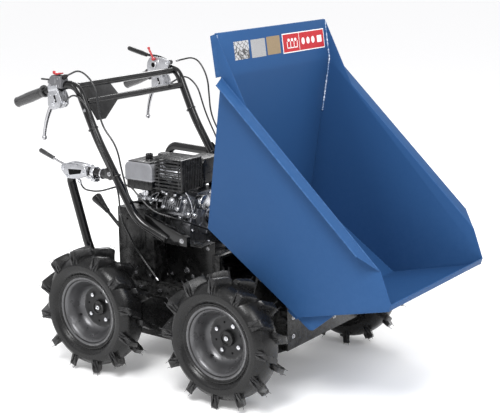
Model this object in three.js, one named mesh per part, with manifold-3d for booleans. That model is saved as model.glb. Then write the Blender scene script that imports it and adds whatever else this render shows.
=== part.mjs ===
// Power wheelbarrow: a four-wheel petrol mini dumper with a tipping sheet-steel tub.
// Lengths are millimetres. X points forward to the tub, Y to the machine's left, Z up.
// The parts are laid out from the rear axle's middle on the ground; the whole group is
// then moved so that the origin is the middle of the machine's box, on the ground.
import * as THREE from 'three';
import { mergeVertices } from 'three/addons/utils/BufferGeometryUtils.js';
import Module from 'manifold-3d';

const wasm = await Module();
wasm.setup();

// ---- driving dimensions ----
const GAP = 0.3;                  // clearance kept between touching pieces
const WHEELBASE = 531;
const WHEEL_Y = 350;              // middle of each tyre from the centre plane
const AXLE_Z = 205;               // 4.00-8 tyre, radius over the lugs
const CARCASS_R = 185;
const LUGS = 12;                  // per side of the tread
const WHEEL_SIDES = 24;
const BEAD_R = 102.8;

const FRAME_Y = 200;              // half width of the chassis
const FRAME_REAR = -110;
const FRAME_FRONT = 655;
const RAIL_BOTTOM = 235;
const RAIL_TOP = 274;
const BELLY_Z = 90;
const AXLE_TUBE_R = 28;
const SHAFT_R = 12.5;
const BORE_PLAY = 0.8;             // round the stub shafts, which turn in the axle tubes

const DECK_TOP = 372;
const HOUSING_Y = 136;
const HOUSING_TOP = 430;
const COVER_REAR = -24;
const COVER_FRONT = 130;
const COVER_TOP = 516;

const CRANK_Z = 478;
const CYLINDER_TILT = THREE.MathUtils.degToRad(25);

const PIVOT_X = 550;              // tub hinge pin
const PIVOT_Z = 360;
const DUMP_ANGLE = THREE.MathUtils.degToRad(33.9);
const SHEET = 3;                  // tub sheet thickness
const FLOOR_Z = 62;               // tub floor above the hinge pin, tub lowered
const FLOOR_HALF = 280;
const FLARE = 0.000075;           // tub widening per millimetre above the floor
const FLANGE_W = 43;

const TUBE_R = 14;                // handle tube
const HANDLE_Y = 250;
const GRIP_Y = 273;

const CENTRE_X = 331.95;           // middle of the machine's length from the rear axle

// ---- colours ----
const paint = (color, roughness = 0.5, metalness = 0.1) =>
  new THREE.MeshStandardMaterial({ color, roughness, metalness });
const BLACK_PAINT = 0x1b1b1c;
const TUB_BLUE = 0x2d527e;
const RUBBER = 0x2b2b2d;
const RIM_GREY = 0x77777a;
const SILVER = 0xc6c9d0;
const BLACK_PLASTIC = 0x1f1f21;
const RED = 0xb3141c;

// ---- geometry helpers ----
const v3 = (x, y, z) => new THREE.Vector3(x, y, z);

function toSolid(geometry) {
  const bare = geometry.clone();
  bare.deleteAttribute('normal');
  bare.deleteAttribute('uv');
  const merged = mergeVertices(bare, 1e-4);
  const index = merged.index.array;
  const kept = [];
  for (let i = 0; i < index.length; i += 3) {
    const [a, b, c] = [index[i], index[i + 1], index[i + 2]];
    if (a !== b && b !== c && c !== a) kept.push(a, b, c);
  }
  const vertProperties = merged.attributes.position.array;
  return new wasm.Manifold(new wasm.Mesh({ numProp: 3, vertProperties, triVerts: new Uint32Array(kept) }));
}

function toGeometry(solid) {
  const mesh = solid.getMesh();
  const geometry = new THREE.BufferGeometry();
  geometry.setAttribute('position', new THREE.BufferAttribute(mesh.vertProperties, 3));
  geometry.setIndex(new THREE.BufferAttribute(mesh.triVerts, 1));
  geometry.computeVertexNormals();
  return geometry;
}

function join(...parts) {
  return toGeometry(parts.map(toSolid).reduce((a, b) => a.add(b)));
}

function cut(body, ...tools) {
  return toGeometry(tools.map(toSolid).reduce((a, b) => a.subtract(b), toSolid(body)));
}

// Box between two opposite corners.
function block(low, high) {
  const size = low.map((value, i) => high[i] - value);
  const middle = low.map((value, i) => (high[i] + value) / 2);
  return new THREE.BoxGeometry(...size).translate(...middle);
}

function shapeOf(points, holes = []) {
  const shape = new THREE.Shape(points.map(([x, y]) => new THREE.Vector2(x, y)));
  for (const [x, y, r] of holes) shape.holes.push(new THREE.Path().absarc(x, y, r, 0, Math.PI * 2));
  return shape;
}

const prism = (points, depth, holes) =>
  new THREE.ExtrudeGeometry(shapeOf(points, holes), { depth, bevelEnabled: false, curveSegments: 8 });

// Outline in X and Z, as thick as the span from y0 to y1.
const plateY = (points, y0, y1, holes) =>
  prism(points, y1 - y0, holes).rotateX(Math.PI / 2).translate(0, y1, 0);

// Outline in Y and Z, running from x0 to x1.
function barX(points, x0, x1) {
  const turn = new THREE.Matrix4().makeBasis(v3(0, 1, 0), v3(0, 0, 1), v3(1, 0, 0));
  return prism(points, x1 - x0).applyMatrix4(turn).translate(x0, 0, 0);
}

// Round bar between two points.
function rod(from, to, radius, sides = 12, endRadius = radius) {
  const axis = v3(...to).sub(v3(...from));
  const turn = new THREE.Quaternion().setFromUnitVectors(v3(0, 1, 0), axis.clone().normalize());
  return new THREE.CylinderGeometry(endRadius, radius, axis.length(), sides)
    .translate(0, axis.length() / 2, 0)
    .applyQuaternion(turn)
    .translate(...from);
}

const ball = (centre, radius) => new THREE.SphereGeometry(radius, 12, 8).translate(...centre);

// Closed profile of [radius, height] points turned about Y, with its faces pointing out.
function turned(profile, sides = WHEEL_SIDES) {
  const points = profile.map(([r, y]) => new THREE.Vector2(r, y));
  if (THREE.ShapeUtils.area(points) < 0) points.reverse();
  points.push(points[0].clone());
  return new THREE.LatheGeometry(points, sides);
}

// Profile of [radius, distance] points turned about an axis along X.
const turnedX = (profile, sides = WHEEL_SIDES) => turned(profile, sides).rotateZ(-Math.PI / 2);

// Curve through given stations, used to sweep a section with one ring per station.
class StationPath extends THREE.Curve {
  constructor(stations) {
    super();
    this.stations = stations;
  }

  getPoint(t) {
    const place = t * (this.stations.length - 1);
    const i = Math.min(Math.floor(place), this.stations.length - 2);
    return this.stations[i].clone().lerp(this.stations[i + 1], place - i);
  }

  getSpacedPoints() {
    return this.stations.map((point) => point.clone());
  }

  getTangentAt(u) {
    const last = this.stations.length - 1;
    const i = Math.round(u * last);
    const ahead = i < last ? this.stations[i + 1].clone().sub(this.stations[i]).normalize() : v3(0, 0, 0);
    const behind = i > 0 ? this.stations[i].clone().sub(this.stations[i - 1]).normalize() : v3(0, 0, 0);
    return ahead.add(behind).normalize();
  }
}

// Tube whose corners are rounded off with the given bend length.
function tube(points, radius, { bend = 40, steps = 3, sides = 10 } = {}) {
  const corners = points.map((p) => v3(...p));
  const stations = [corners[0]];
  for (let i = 1; i < corners.length - 1; i += 1) {
    const reach = Math.min(bend, corners[i].distanceTo(corners[i - 1]) / 2.1,
      corners[i].distanceTo(corners[i + 1]) / 2.1);
    const before = corners[i].clone().lerp(corners[i - 1], reach / corners[i].distanceTo(corners[i - 1]));
    const after = corners[i].clone().lerp(corners[i + 1], reach / corners[i].distanceTo(corners[i + 1]));
    const arc = new THREE.QuadraticBezierCurve3(before, corners[i], after);
    stations.push(...arc.getPoints(steps));
  }
  stations.push(corners[corners.length - 1]);
  const section = new THREE.Shape().absarc(0, 0, radius, 0, Math.PI * 2);
  return new THREE.ExtrudeGeometry(section, {
    steps: stations.length - 1, curveSegments: sides / 2, extrudePath: new StationPath(stations),
  });
}

// Closed outline of a bent sheet: the outer points, then the same points moved inwards.
function sheetOutline(points, thickness) {
  const inner = points.map((point, i) => {
    const before = points[Math.max(i - 1, 0)];
    const after = points[Math.min(i + 1, points.length - 1)];
    const normals = [[before, point], [point, after]]
      .map(([p, q]) => [q[0] - p[0], q[1] - p[1]])
      .filter(([x, y]) => Math.hypot(x, y) > 0)
      .map(([x, y]) => [-y / Math.hypot(x, y), x / Math.hypot(x, y)]);
    const [nx, ny] = normals.reduce((a, b) => [a[0] + b[0], a[1] + b[1]]);
    const scale = thickness * normals.length / (nx * nx + ny * ny);
    return [point[0] + nx * scale, point[1] + ny * scale];
  });
  return [...points, ...inner.reverse()];
}

const mirrorY = (points) => points.map(([x, y, z]) => [x, -y, z]);

// ---- assembly ----
const machine = new THREE.Group();
machine.position.x = -CENTRE_X;

function add(name, geometry, material, parent = machine) {
  const mesh = new THREE.Mesh(geometry, material);
  mesh.name = name;
  parent.add(mesh);
  return mesh;
}

// ---- wheels ----
function tyreGeometry() {
  const half = [[BEAD_R, 33], [116, 33], [124, 46], [142, 54], [166, 49], [CARCASS_R, 22]];
  const hollow = [[BEAD_R, 22], [152, 36]];
  const mirrored = (list) => list.map(([r, y]) => [r, -y]).reverse();
  const profile = [...half, ...mirrored(half), ...mirrored(hollow).reverse(), ...hollow.slice().reverse()];
  const lugs = [];
  for (let i = 0; i < LUGS; i += 1) {
    for (const side of [1, -1]) {
      const angle = -Math.PI / 2 + (i + (side > 0 ? 0 : 0.5)) * (2 * Math.PI / LUGS);
      lugs.push(lugGeometry(angle, side));
    }
  }
  return join(turned(profile), ...lugs);
}

// One tread lug: a skewed bar from the middle of the tread over the shoulder.
function lugGeometry(angle, side) {
  const outline = [[-22, 3], [-4, 3], [24, 52], [2, 52]];
  const points = outline.map(([u, v]) => [u * side, v]);
  if (side < 0) points.reverse();
  const out = v3(Math.cos(angle), 0, Math.sin(angle));
  const along = v3(Math.sin(angle) * side, 0, -Math.cos(angle) * side);
  const turn = new THREE.Matrix4().makeBasis(along, v3(0, side, 0), out);
  const root = 165;
  return prism(points, AXLE_Z - root).translate(0, 0, root).applyMatrix4(turn);
}

// Steel rim with its hub bolted in: disc near the inner flange, four studs and a hub cap.
function rimGeometry() {
  const profile = [[113.5, 38], [113.5, 35], [101.6, 33.4], [101.6, 20], [90, 8], [90, -14], [101.6, -22],
    [101.6, -33.4], [113.5, -34.5], [113.5, -38], [98, -38], [92, -30], [0, -30], [0, -24], [60, -24],
    [79, -8], [86, 8], [97, 20], [97.5, 32], [106, 38]];
  const studs = [];
  for (let i = 0; i < 4; i += 1) {
    const angle = Math.PI / 4 + i * Math.PI / 2;
    const [x, z] = [45 * Math.cos(angle), 45 * Math.sin(angle)];
    studs.push(rod([x, -26, z], [x, -13, z], 9.5, 6));
  }
  const cap = turned([[0, -26], [24, -26], [24, -10], [20, -5], [0, -5]], 16);
  const flange = turned([[0, -41], [58, -41], [58, -28], [0, -28]], 16);
  const shaft = rod([0, -112, 0], [0, -35, 0], SHAFT_R, 12);
  return join(turned(profile, 18), ...studs, cap, flange, shaft);
}

function addWheels() {
  const tyre = tyreGeometry();
  const rim = rimGeometry();
  for (const [end, x] of [['rear', 0], ['front', WHEELBASE]]) {
    for (const [side, sign] of [['right', -1], ['left', 1]]) {
      const wheel = new THREE.Group();
      wheel.position.set(x, sign * WHEEL_Y, AXLE_Z);
      wheel.rotation.z = sign < 0 ? Math.PI : 0;
      machine.add(wheel);
      add(`tyre_${end}_${side}`, tyre, paint(RUBBER, 0.8, 0), wheel);
      add(`rim_${end}_${side}`, rim, paint(RIM_GREY, 0.4, 0.6), wheel);
    }
  }
}

// ---- chassis ----
function axleGeometry(x) {
  const end = 300;
  const bore = 236;
  const ends = [1, -1].map((sign) =>
    rod([x, sign * bore, AXLE_Z], [x, sign * (end + 1), AXLE_Z], SHAFT_R + BORE_PLAY, 12));
  const collars = [1, -1].map((sign) =>
    rod([x, sign * (FRAME_Y + 1), AXLE_Z], [x, sign * (FRAME_Y + 12), AXLE_Z], 42, 16));
  const body = join(rod([x, -end, AXLE_Z], [x, end, AXLE_Z], AXLE_TUBE_R, 16), ...collars);
  return cut(body, ...ends);
}

function frameGeometry() {
  const wall = 4;
  const panY = FRAME_Y - 4;
  const side = [[FRAME_REAR, 130], [-70, BELLY_Z], [WHEELBASE, BELLY_Z], [FRAME_FRONT, 150],
    [FRAME_FRONT, RAIL_BOTTOM + 1], [FRAME_REAR, RAIL_BOTTOM + 1]];
  const hollow = [[FRAME_REAR + wall, 132], [-68, BELLY_Z + wall], [WHEELBASE - 1, BELLY_Z + wall],
    [FRAME_FRONT - wall, 153], [FRAME_FRONT - wall, 300], [FRAME_REAR + wall, 300]];
  const pan = cut(plateY(side, -panY, panY), plateY(hollow, -panY + wall, panY - wall));
  const rails = [1, -1].map((sign) => railGeometry(sign, wall));
  const deck = block([120, -165, RAIL_TOP - wall], [345, 165, RAIL_TOP]);
  const nose = block([FRAME_FRONT - 1, -FRAME_Y, 150], [FRAME_FRONT + 6, FRAME_Y, 326]);
  const cheek = [[560, RAIL_TOP - 2], [FRAME_FRONT + 1, RAIL_TOP - 2], [FRAME_FRONT + 1, 326], [625, 326]];
  const cheeks = [1, -1].map((sign) => plateY(cheek, sign * 194 - 3, sign * 194 + 3));
  const holes = [0, WHEELBASE].map((x) =>
    rod([x, -FRAME_Y - 5, AXLE_Z], [x, FRAME_Y + 5, AXLE_Z], AXLE_TUBE_R + GAP, 16));
  return cut(join(pan, ...rails, deck, nose, ...cheeks, ...pivotBrackets(), restBridge()), ...holes);
}

// Channel rail, open towards the centre plane.
function railGeometry(sign, wall) {
  const points = [[FRAME_Y, RAIL_BOTTOM], [FRAME_Y, RAIL_TOP], [160, RAIL_TOP], [160, RAIL_TOP - wall],
    [FRAME_Y - wall, RAIL_TOP - wall], [FRAME_Y - wall, RAIL_BOTTOM + wall], [160, RAIL_BOTTOM + wall],
    [160, RAIL_BOTTOM]];
  return barX(points.map(([y, z]) => [y * sign, z]), FRAME_REAR, FRAME_FRONT);
}

function pivotBrackets() {
  const outline = [[505, 271], [595, 271], [576, 370], [562, 384], [538, 384], [524, 370]];
  return [1, -1].map((sign) =>
    plateY(outline, sign * 165 - 4, sign * 165 + 4, [[PIVOT_X, PIVOT_Z, 10 + GAP]]));
}

// Cross member that carries the lowered tub.
function restBridge() {
  const legs = [1, -1].map((sign) => block([345, sign * 155 - 10, 271], [375, sign * 155 + 10, 396.5]));
  return join(...legs, block([345, -165, 388], [375, 165, 396.5]));
}

function housingGeometry() {
  const [inner, outer] = [HOUSING_Y - 3, FRAME_Y + 4];
  const half = [[inner, RAIL_TOP + GAP], [HOUSING_Y, RAIL_TOP + GAP], [HOUSING_Y, HOUSING_TOP - 3],
    [outer, HOUSING_TOP - 3], [outer, HOUSING_TOP], [inner, HOUSING_TOP], [inner, DECK_TOP]];
  const mirrored = half.map(([y, z]) => [-y, z]).reverse();
  const outline = [...half, ...mirrored, [-inner, DECK_TOP - 3], [inner, DECK_TOP - 3]];
  const walls = barX(outline, COVER_FRONT + 1, 335);
  const deck = block([-15, -132, DECK_TOP - 3], [334, 132, DECK_TOP]);
  const ears = [1, -1].map((sign) =>
    plateY([[280, DECK_TOP - 1], [312, DECK_TOP - 1], [304, 450], [288, 450]], sign * 12 - 3, sign * 12 + 3));
  return join(walls, deck, ...ears);
}

// Sheet cover behind the engine: two hollow cheeks joined by a rear panel.
function rearCoverGeometry() {
  const foot = RAIL_TOP + GAP;
  const shell = block([COVER_REAR, -FRAME_Y, foot], [COVER_FRONT, FRAME_Y, COVER_TOP]);
  const pocket = block([COVER_REAR + 3, -HOUSING_Y, foot - 1], [COVER_FRONT + 1, HOUSING_Y, COVER_TOP + 1]);
  const cheeks = [1, -1].map((sign) => {
    const [near, far] = [sign * (HOUSING_Y + 3), sign * (FRAME_Y - 3)].sort((a, b) => a - b);
    return block([COVER_REAR + 3, near, foot - 1], [COVER_FRONT - 3, far, COVER_TOP - 3]);
  });
  const ears = [-142, -122].map((y) => block([-46, y, 372], [COVER_REAR + 1, y + 4, 398]));
  return cut(join(shell, ...ears), pocket, ...cheeks);
}

function addChassis() {
  const black = () => paint(BLACK_PAINT, 0.45, 0.3);
  add('chassis_frame', frameGeometry(), black());
  add('rear_axle_tube', axleGeometry(0), black());
  add('front_axle_tube', axleGeometry(WHEELBASE), black());
  add('engine_deck', housingGeometry(), black());
  add('rear_cover', rearCoverGeometry(), black());
  add('gearbox', join(block([130, -95, 120], [330, 95, 268]), rod([150, 0, 180], [60, 0, 180], 45, 14)),
    paint(0x55565a, 0.6, 0.5));
  add('pivot_pin', join(rod([PIVOT_X, -172, PIVOT_Z], [PIVOT_X, 172, PIVOT_Z], 10, 14),
    rod([PIVOT_X, -178, PIVOT_Z], [PIVOT_X, -169.5, PIVOT_Z], 15, 14),
    rod([PIVOT_X, 169.5, PIVOT_Z], [PIVOT_X, 178, PIVOT_Z], 15, 14)), paint(SILVER, 0.3, 0.9));
  add('stop_buffer', bufferGeometry(), paint(RUBBER, 0.8, 0));
}

// Rubber strip on the nose plate, its top sloped like the dumped tub's rails.
function bufferGeometry() {
  const [front, rear] = [FRAME_FRONT + 4, FRAME_FRONT - 22];
  const railZ = (x) => PIVOT_Z - (x - PIVOT_X - 20.6) * Math.tan(DUMP_ANGLE) + 30.7 - 1;
  const outline = [[rear, 326 + GAP], [front, 326 + GAP], [front, railZ(front)], [rear, railZ(rear)]];
  return plateY(outline, -150, 150);
}

// ---- engine ----
function alongCylinder(distance, across) {
  return [
    -Math.cos(CYLINDER_TILT) * distance + Math.sin(CYLINDER_TILT) * across,
    CRANK_Z + Math.sin(CYLINDER_TILT) * distance + Math.cos(CYLINDER_TILT) * across,
  ];
}

function finnedOutline(start, end, count, core, fin) {
  const pitch = (end - start) / count;
  const edge = (sign) => Array.from({ length: count }, (_, i) => {
    const at = start + i * pitch;
    return [[at, sign * core], [at + pitch * 0.55, sign * core], [at + pitch * 0.55, sign * fin],
      [at + pitch, sign * fin]];
  }).flat();
  return [...edge(-1), ...edge(1).reverse()].map(([d, a]) => alongCylinder(d, a));
}

function addEngine() {
  const crankcase = [[-98, DECK_TOP + GAP], [85, DECK_TOP + GAP], [85, 545], [65, 560], [-49, 560],
    [-98, 457]];
  const silver = () => paint(SILVER, 0.35, 0.8);
  const plastic = () => paint(BLACK_PLASTIC, 0.55, 0);
  add('crankcase', barX(crankcase, 50, 200), silver());
  add('cylinder', barX(finnedOutline(80.4, 124, 5, 24, 37), 105, 195), silver());
  const cover = [alongCylinder(124.4, -28), alongCylinder(142, -22), alongCylinder(142, 22),
    alongCylinder(124.4, 28)];
  add('valve_cover', barX(cover, 112, 188), paint(BLACK_PAINT, 0.4, 0.4));
  add('carburettor', join(block([-4, -134, 519], [58, -98, 548]),
    rod([50, -112, 532], [104.6, -112, 532], 12), rod([30, -114, 545], [30, -114, 567], 16)), silver());
  add('air_filter_case', block([-28, -148, 567.3], [84, -42, 600]), plastic());
  add('air_filter_cover', filterCover(), paint(0x8f9196, 0.45, 0.3));
  add('air_filter_knob', rod([30, -95, 664 + GAP], [30, -95, 684], 13, 12), plastic());
  add('recoil_starter', recoilGeometry(), plastic());
  add('recoil_handle', join(block([-46, 28, 531], [-34, 72, 545]), rod([-36, 50, 538], [-13, 50, 538], 6)),
    plastic());
  add('fuel_tank', tankGeometry(), plastic());
  add('fuel_cap', rod([-16, 36, 648 + GAP], [-16, 36, 659], 24, 16), plastic());
  add('muffler', rod([104, -100, 632], [208, -100, 632], 38, 16), silver());
  add('muffler_guard', guardGeometry(), plastic());
  add('drive_pulley', turnedX([[0, 200 + GAP], [31, 200 + GAP], [31, 204], [24, 210], [24, 222], [31, 228],
    [31, 236], [0, 236]], 20).translate(0, 0, CRANK_Z), silver());
}

function filterCover() {
  const low = 600 + GAP;
  const outline = [[-32, low], [88, low], [88, 648], [78, 660], [-18, 660], [-30, 646]];
  return join(plateY(outline, -152, -40), rod([30, -95, 655], [30, -95, 664], 9, 12));
}

function recoilGeometry() {
  const profile = [[0, -12], [70, -12], [86, -4], [95, 12], [95, 49.7], [0, 49.7]];
  const body = turnedX(profile, 24).translate(0, 0, CRANK_Z);
  const feet = block([4, -80, DECK_TOP + GAP], [40, 80, 400]);
  const mouth = block([-20, 38, 526], [2, 62, 550]);
  return cut(join(body, feet), mouth);
}

function tankGeometry() {
  const section = (top) => [[-6, 576], [106, 576], [112, 590], [112, top - 14], [96, top], [8, top],
    [-6, top - 12]];
  return join(barX(section(648), -50, 113), barX(section(664), 112, 188));
}

// Slotted shell over the muffler, open underneath.
function guardGeometry() {
  const shell = block([92, -152, 580], [218, -50, 686]);
  const inside = block([95, -149, 579], [215, -53, 683]);
  const slots = [];
  for (let i = 0; i < 7; i += 1) {
    const z = 592 + i * 12;
    slots.push(block([102, -160, z], [208, -140, z + 6]));
    slots.push(block([210, -142 + i * 12, 592], [222, -136 + i * 12, 674]));
  }
  return cut(shell, inside, ...slots);
}

// ---- handle ----
function legPath(sign, end = 3) {
  const path = [[214, -232, 445], [108, -HANDLE_Y, 493], [-57, -HANDLE_Y, 750], [-137, -HANDLE_Y - 2, 926],
    [-268, -262, 891], [-396 + end, -GRIP_Y, 843.5 + end * 0.37]];
  return sign < 0 ? path : mirrorY(path);
}

function legTube(sign, radius, end = 3) {
  return tube(legPath(sign, end), radius, { bend: 48, steps: 4, sides: 12 });
}

function bracePath(sign) {
  const path = [[8, -HANDLE_Y, 632], [-160, -HANDLE_Y, 636], [-186, -HANDLE_Y, 603], [-112, -HANDLE_Y, 370],
    [-92, -226, 300], [-92, -FRAME_Y - GAP, 262]];
  return sign < 0 ? path : mirrorY(path);
}

function braceTube(sign, radius) {
  return tube(bracePath(sign), radius, { bend: 34, steps: 3, sides: 10 });
}

function braceGeometry(sign) {
  const frameSide = block([-150, -FRAME_Y - GAP, 200], [-50, FRAME_Y + GAP, 320]);
  return cut(braceTube(sign, 15), legTube(sign, TUBE_R + GAP), frameSide);
}

function legGeometry(sign) {
  const bracket = [[118, 516], [275, 470], [298, 462], [298, HOUSING_TOP + GAP], [210, HOUSING_TOP + GAP],
    [135, 468]];
  return join(legTube(sign, TUBE_R), plateY(bracket, sign * 223 - 10, sign * 223 - 10 + 20));
}

// Upper and lower cross bars with the sheet console plate between them.
function crossbarGeometry() {
  const bar = (x, z) => rod([x, -246, z], [x, 246, z], 11, 12);
  const plate = [[-240, 70], [-96, 70], [-80, -2], [-100, -12], [-200, -72], [-240, -72]];
  const up = v3(-39, 0, 50).normalize();
  const turn = new THREE.Matrix4().makeBasis(v3(0, 1, 0), up, v3(0, 1, 0).cross(up));
  const console = prism(plate, 4).applyMatrix4(turn).translate(-107, 0, 862);
  const legs = [1, -1].map((sign) => legTube(sign, TUBE_R + GAP));
  return cut(join(bar(-146, 912), bar(-107, 862), console), ...legs);
}

function gripGeometry(sign) {
  const [from, to] = [legPath(sign)[4], legPath(sign, -4)[5]];
  const start = from.map((value, i) => value + (to[i] - value) * 0.03);
  const middle = from.map((value, i) => value + (to[i] - value) * 0.5);
  const body = join(rod(start, middle, 16.5, 14, 18), rod(middle, to, 18, 14, 17), rod(start,
    from.map((value, i) => value + (to[i] - value) * 0.08), 21, 14));
  return cut(body, legTube(sign, TUBE_R + GAP, 2.5));
}

// Cast perch under the handlebar: a clamp with two cheeks that hold the hand lever.
function perchGeometry(sign) {
  const y = 259;
  const outline = [[-246, 886], [-196, 898], [-186, 872], [-190, 846], [-222, 832], [-246, 842]];
  const cheeks = plateY(outline, y - 20, y + 20);
  const clamp = rod([-243, y, 898], [-200, y, 908], 21, 12);
  const slot = block([-260, y - 7.5, 820], [-200, y + 7.5, 866]);
  const body = cut(join(cheeks, clamp), slot);
  const placed = sign < 0 ? toGeometry(toSolid(body).mirror([0, 1, 0])) : body;
  return cut(placed, legTube(sign, TUBE_R + GAP));
}

function handLeverGeometry(sign) {
  const y = sign * 259;
  const path = [[-214, y, 852], [-240, y, 848], [-272, y, 800], [-288, sign * 262, 735]];
  const eye = rod([-228, y - 6, 852], [-228, y + 6, 852], 9, 12);
  return join(tube(path, 5.5, { bend: 26, steps: 3, sides: 8 }), eye, ball([-288, sign * 262, 731], 9));
}

function addHandle() {
  const black = () => paint(BLACK_PAINT, 0.35, 0.3);
  const silver = () => paint(SILVER, 0.3, 0.85);
  const rubber = () => paint(RUBBER, 0.35, 0);
  for (const [side, sign] of [['right', -1], ['left', 1]]) {
    add(`handle_leg_${side}`, legGeometry(sign), black());
    add(`grip_${side}`, gripGeometry(sign), rubber());
    add(`lever_perch_${side}`, perchGeometry(sign), silver());
    add(`steering_lever_${side}`, handLeverGeometry(sign), silver());
    add(`brace_${side}`, braceGeometry(sign), black());
  }
  add('handle_crossbars', crossbarGeometry(), black());
  addDriveLever();
  addThrottle();
  addReleaseLever();
  addGearLever();
}

// Hold-to-run drive lever above the left grip, on a fan-shaped bracket.
function addDriveLever() {
  const fan = [[-256, 903], [-258, 934], [-236, 960], [-158, 950], [-150, 938], [-158, 926],
    [-168, 900]];
  const bracket = join(plateY(fan, 232, 238), rod([-187, 256.8, 911], [-175, 256, 914], 18.5, 12),
    block([-187, 236, 902], [-175, 248, 920]),
    rod([-163, 234, 940], [-163, 243.7, 940], 6, 10));
  add('drive_lever_bracket', cut(bracket, legTube(1, TUBE_R + GAP)), paint(SILVER, 0.3, 0.85));
  const arm = tube([[-163, 250, 940], [-215, 250, 958], [-275, 252, 960], [-370, 262, 978]], 5,
    { bend: 20, steps: 2, sides: 8 });
  const grip = rod([-275, 252, 960], [-372, 262, 978.5], 8.5, 10);
  const eye = rod([-163, 244, 940], [-163, 256, 940], 8, 12);
  add('drive_lever', join(arm, grip, eye), paint(BLACK_PLASTIC, 0.5, 0));
  const catchBlade = join(rod([-222, 227, 950], [-242, 227, 988], 4, 8),
    rod([-222, 222, 950], [-222, 231.7, 950], 6, 10));
  add('lock_catch', catchBlade, paint(RED, 0.4, 0));
}

// Throttle and stop-switch housing inboard of the right grip.
function addThrottle() {
  const shell = [[-236, 905], [-236, 938], [-226, 946], [-190, 946], [-182, 930], [-182, 905]];
  const housing = join(plateY(shell, -278, -242), block([-254, -268, 916], [-235, -250, 925.5]));
  add('switch_housing', cut(housing, legTube(-1, TUBE_R + GAP), perchCutter()), paint(0x8a8c90, 0.5, 0.2));
  const rocker = [[-227, 950.2], [-211, 946.3], [-195, 950.2], [-195, 956], [-211, 954], [-227, 961]];
  add('stop_switch', plateY(rocker, -270, -250), paint(RED, 0.4, 0));
  add('throttle_lever', join(rod([-245, -259, 925.8], [-245, -259, 931], 7.5, 12),
    block([-292, -263, 925.8], [-245, -255, 931])), paint(BLACK_PLASTIC, 0.5, 0));
}

// Space kept round the right perch's clamp.
const perchCutter = () => rod([-246, -259, 897.3], [-197, -259, 908.7], 21.6, 12);

// Tub release lever, clamped to the right-hand brace.
function addReleaseLever() {
  const outline = [[-180, 604], [-207, 630], [-207, 647], [-196, 655], [-98, 655], [-90, 642], [-90, 622],
    [-124, 608]];
  const body = plateY(outline, -274, -226);
  const slot = block([-230, -256.5, 590], [-185, -243.5, 670]);
  const perch = cut(body, slot, braceTube(-1, 15 + GAP));
  add('release_perch', perch, paint(SILVER, 0.3, 0.8));
  const path = [[-196, -250, 640], [-216, -250, 647], [-268, -250, 664]];
  const arm = tube(path, 4.5, { bend: 14, steps: 2, sides: 8 });
  const eye = rod([-196, -256, 640], [-196, -244, 640], 8, 12);
  const knob = rod([-260, -250, 661.4], [-324, -250, 683], 7.5, 10, 10);
  add('release_lever', join(arm, eye, knob), paint(SILVER, 0.3, 0.9));
}

function addGearLever() {
  const y = -130;
  const arm = tube([[-34, y, 385], [-60, y, 405], [-142, y, 474]], 6, { bend: 10, steps: 2, sides: 8 });
  const knob = rod([-138, y, 470.6], [-190, y, 514], 9, 12, 18);
  const eye = rod([-34, y - 7.5, 385], [-34, y + 7.5, 385], 8.5, 12);
  add('gear_lever', join(arm, knob, eye), paint(BLACK_PLASTIC, 0.5, 0));
}

// ---- tub, drawn lowered with the hinge pin as origin ----
const CORNERS = {
  top: [-483, 586], rim: [-400, 491], heel: [-195, FLOOR_Z], toe: [203, FLOOR_Z], slope: [418, 299],
  lip: [412, 319], front: [333, 376], dot: [-280, 474],
};

// The tub widens slightly from its floor to its rim.
function flare(geometry) {
  const place = geometry.attributes.position;
  for (let i = 0; i < place.count; i += 1) {
    place.setY(i, place.getY(i) * (1 + FLARE * (place.getZ(i) - FLOOR_Z)));
  }
  return geometry;
}

function panGeometry() {
  const { top, rim, heel, toe, slope, lip } = CORNERS;
  const half = FLOOR_HALF - SHEET - GAP;
  const pan = plateY(sheetOutline([top, rim, heel, toe, slope, lip], SHEET), -half, half);
  const back = [[-498, 566], [-416, 474]];
  const strip = [top, rim, back[1], back[0]];
  const returns = [1, -1].map((sign) => plateY(strip, sign * (half - 1.5) - 1.5, sign * (half - 1.5) + 1.5));
  const ears = [1, -1].map((sign) =>
    plateY([[-217, 112], [-205, 86], [-228, 76], [-238, 90]], sign * 24 - 3, sign * 24 + 3));
  const striker = rod([-228, -27, 86], [-228, 27, 86], 6, 10);
  return flare(join(pan, ...returns, ...ears, striker));
}

function tubSideGeometry(sign) {
  const { top, rim, heel, toe, slope, lip, front, dot } = CORNERS;
  const outline = [heel, toe, slope, lip, front, dot, top, rim];
  const [low, high] = [sign * (FLOOR_HALF - SHEET), sign * FLOOR_HALF].sort((a, b) => a - b);
  const wall = plateY(outline, low, high);
  const length = Math.hypot(front[0] - rim[0], front[1] - rim[1]);
  const along = v3(front[0] - rim[0], 0, front[1] - rim[1]).normalize();
  const normal = along.clone().cross(v3(0, 1, 0));
  const turn = new THREE.Matrix4().makeBasis(along, v3(0, 1, 0), normal);
  const flange = [[2, -1], [length - 1, -1], [length - 68, FLANGE_W], [24, FLANGE_W]];
  const points = flange.map(([u, v]) => [u, v * sign]);
  const strip = prism(points, SHEET).translate(0, sign * FLOOR_HALF, -SHEET).applyMatrix4(turn)
    .translate(rim[0], 0, rim[1]);
  return flare(join(wall, strip));
}

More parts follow.
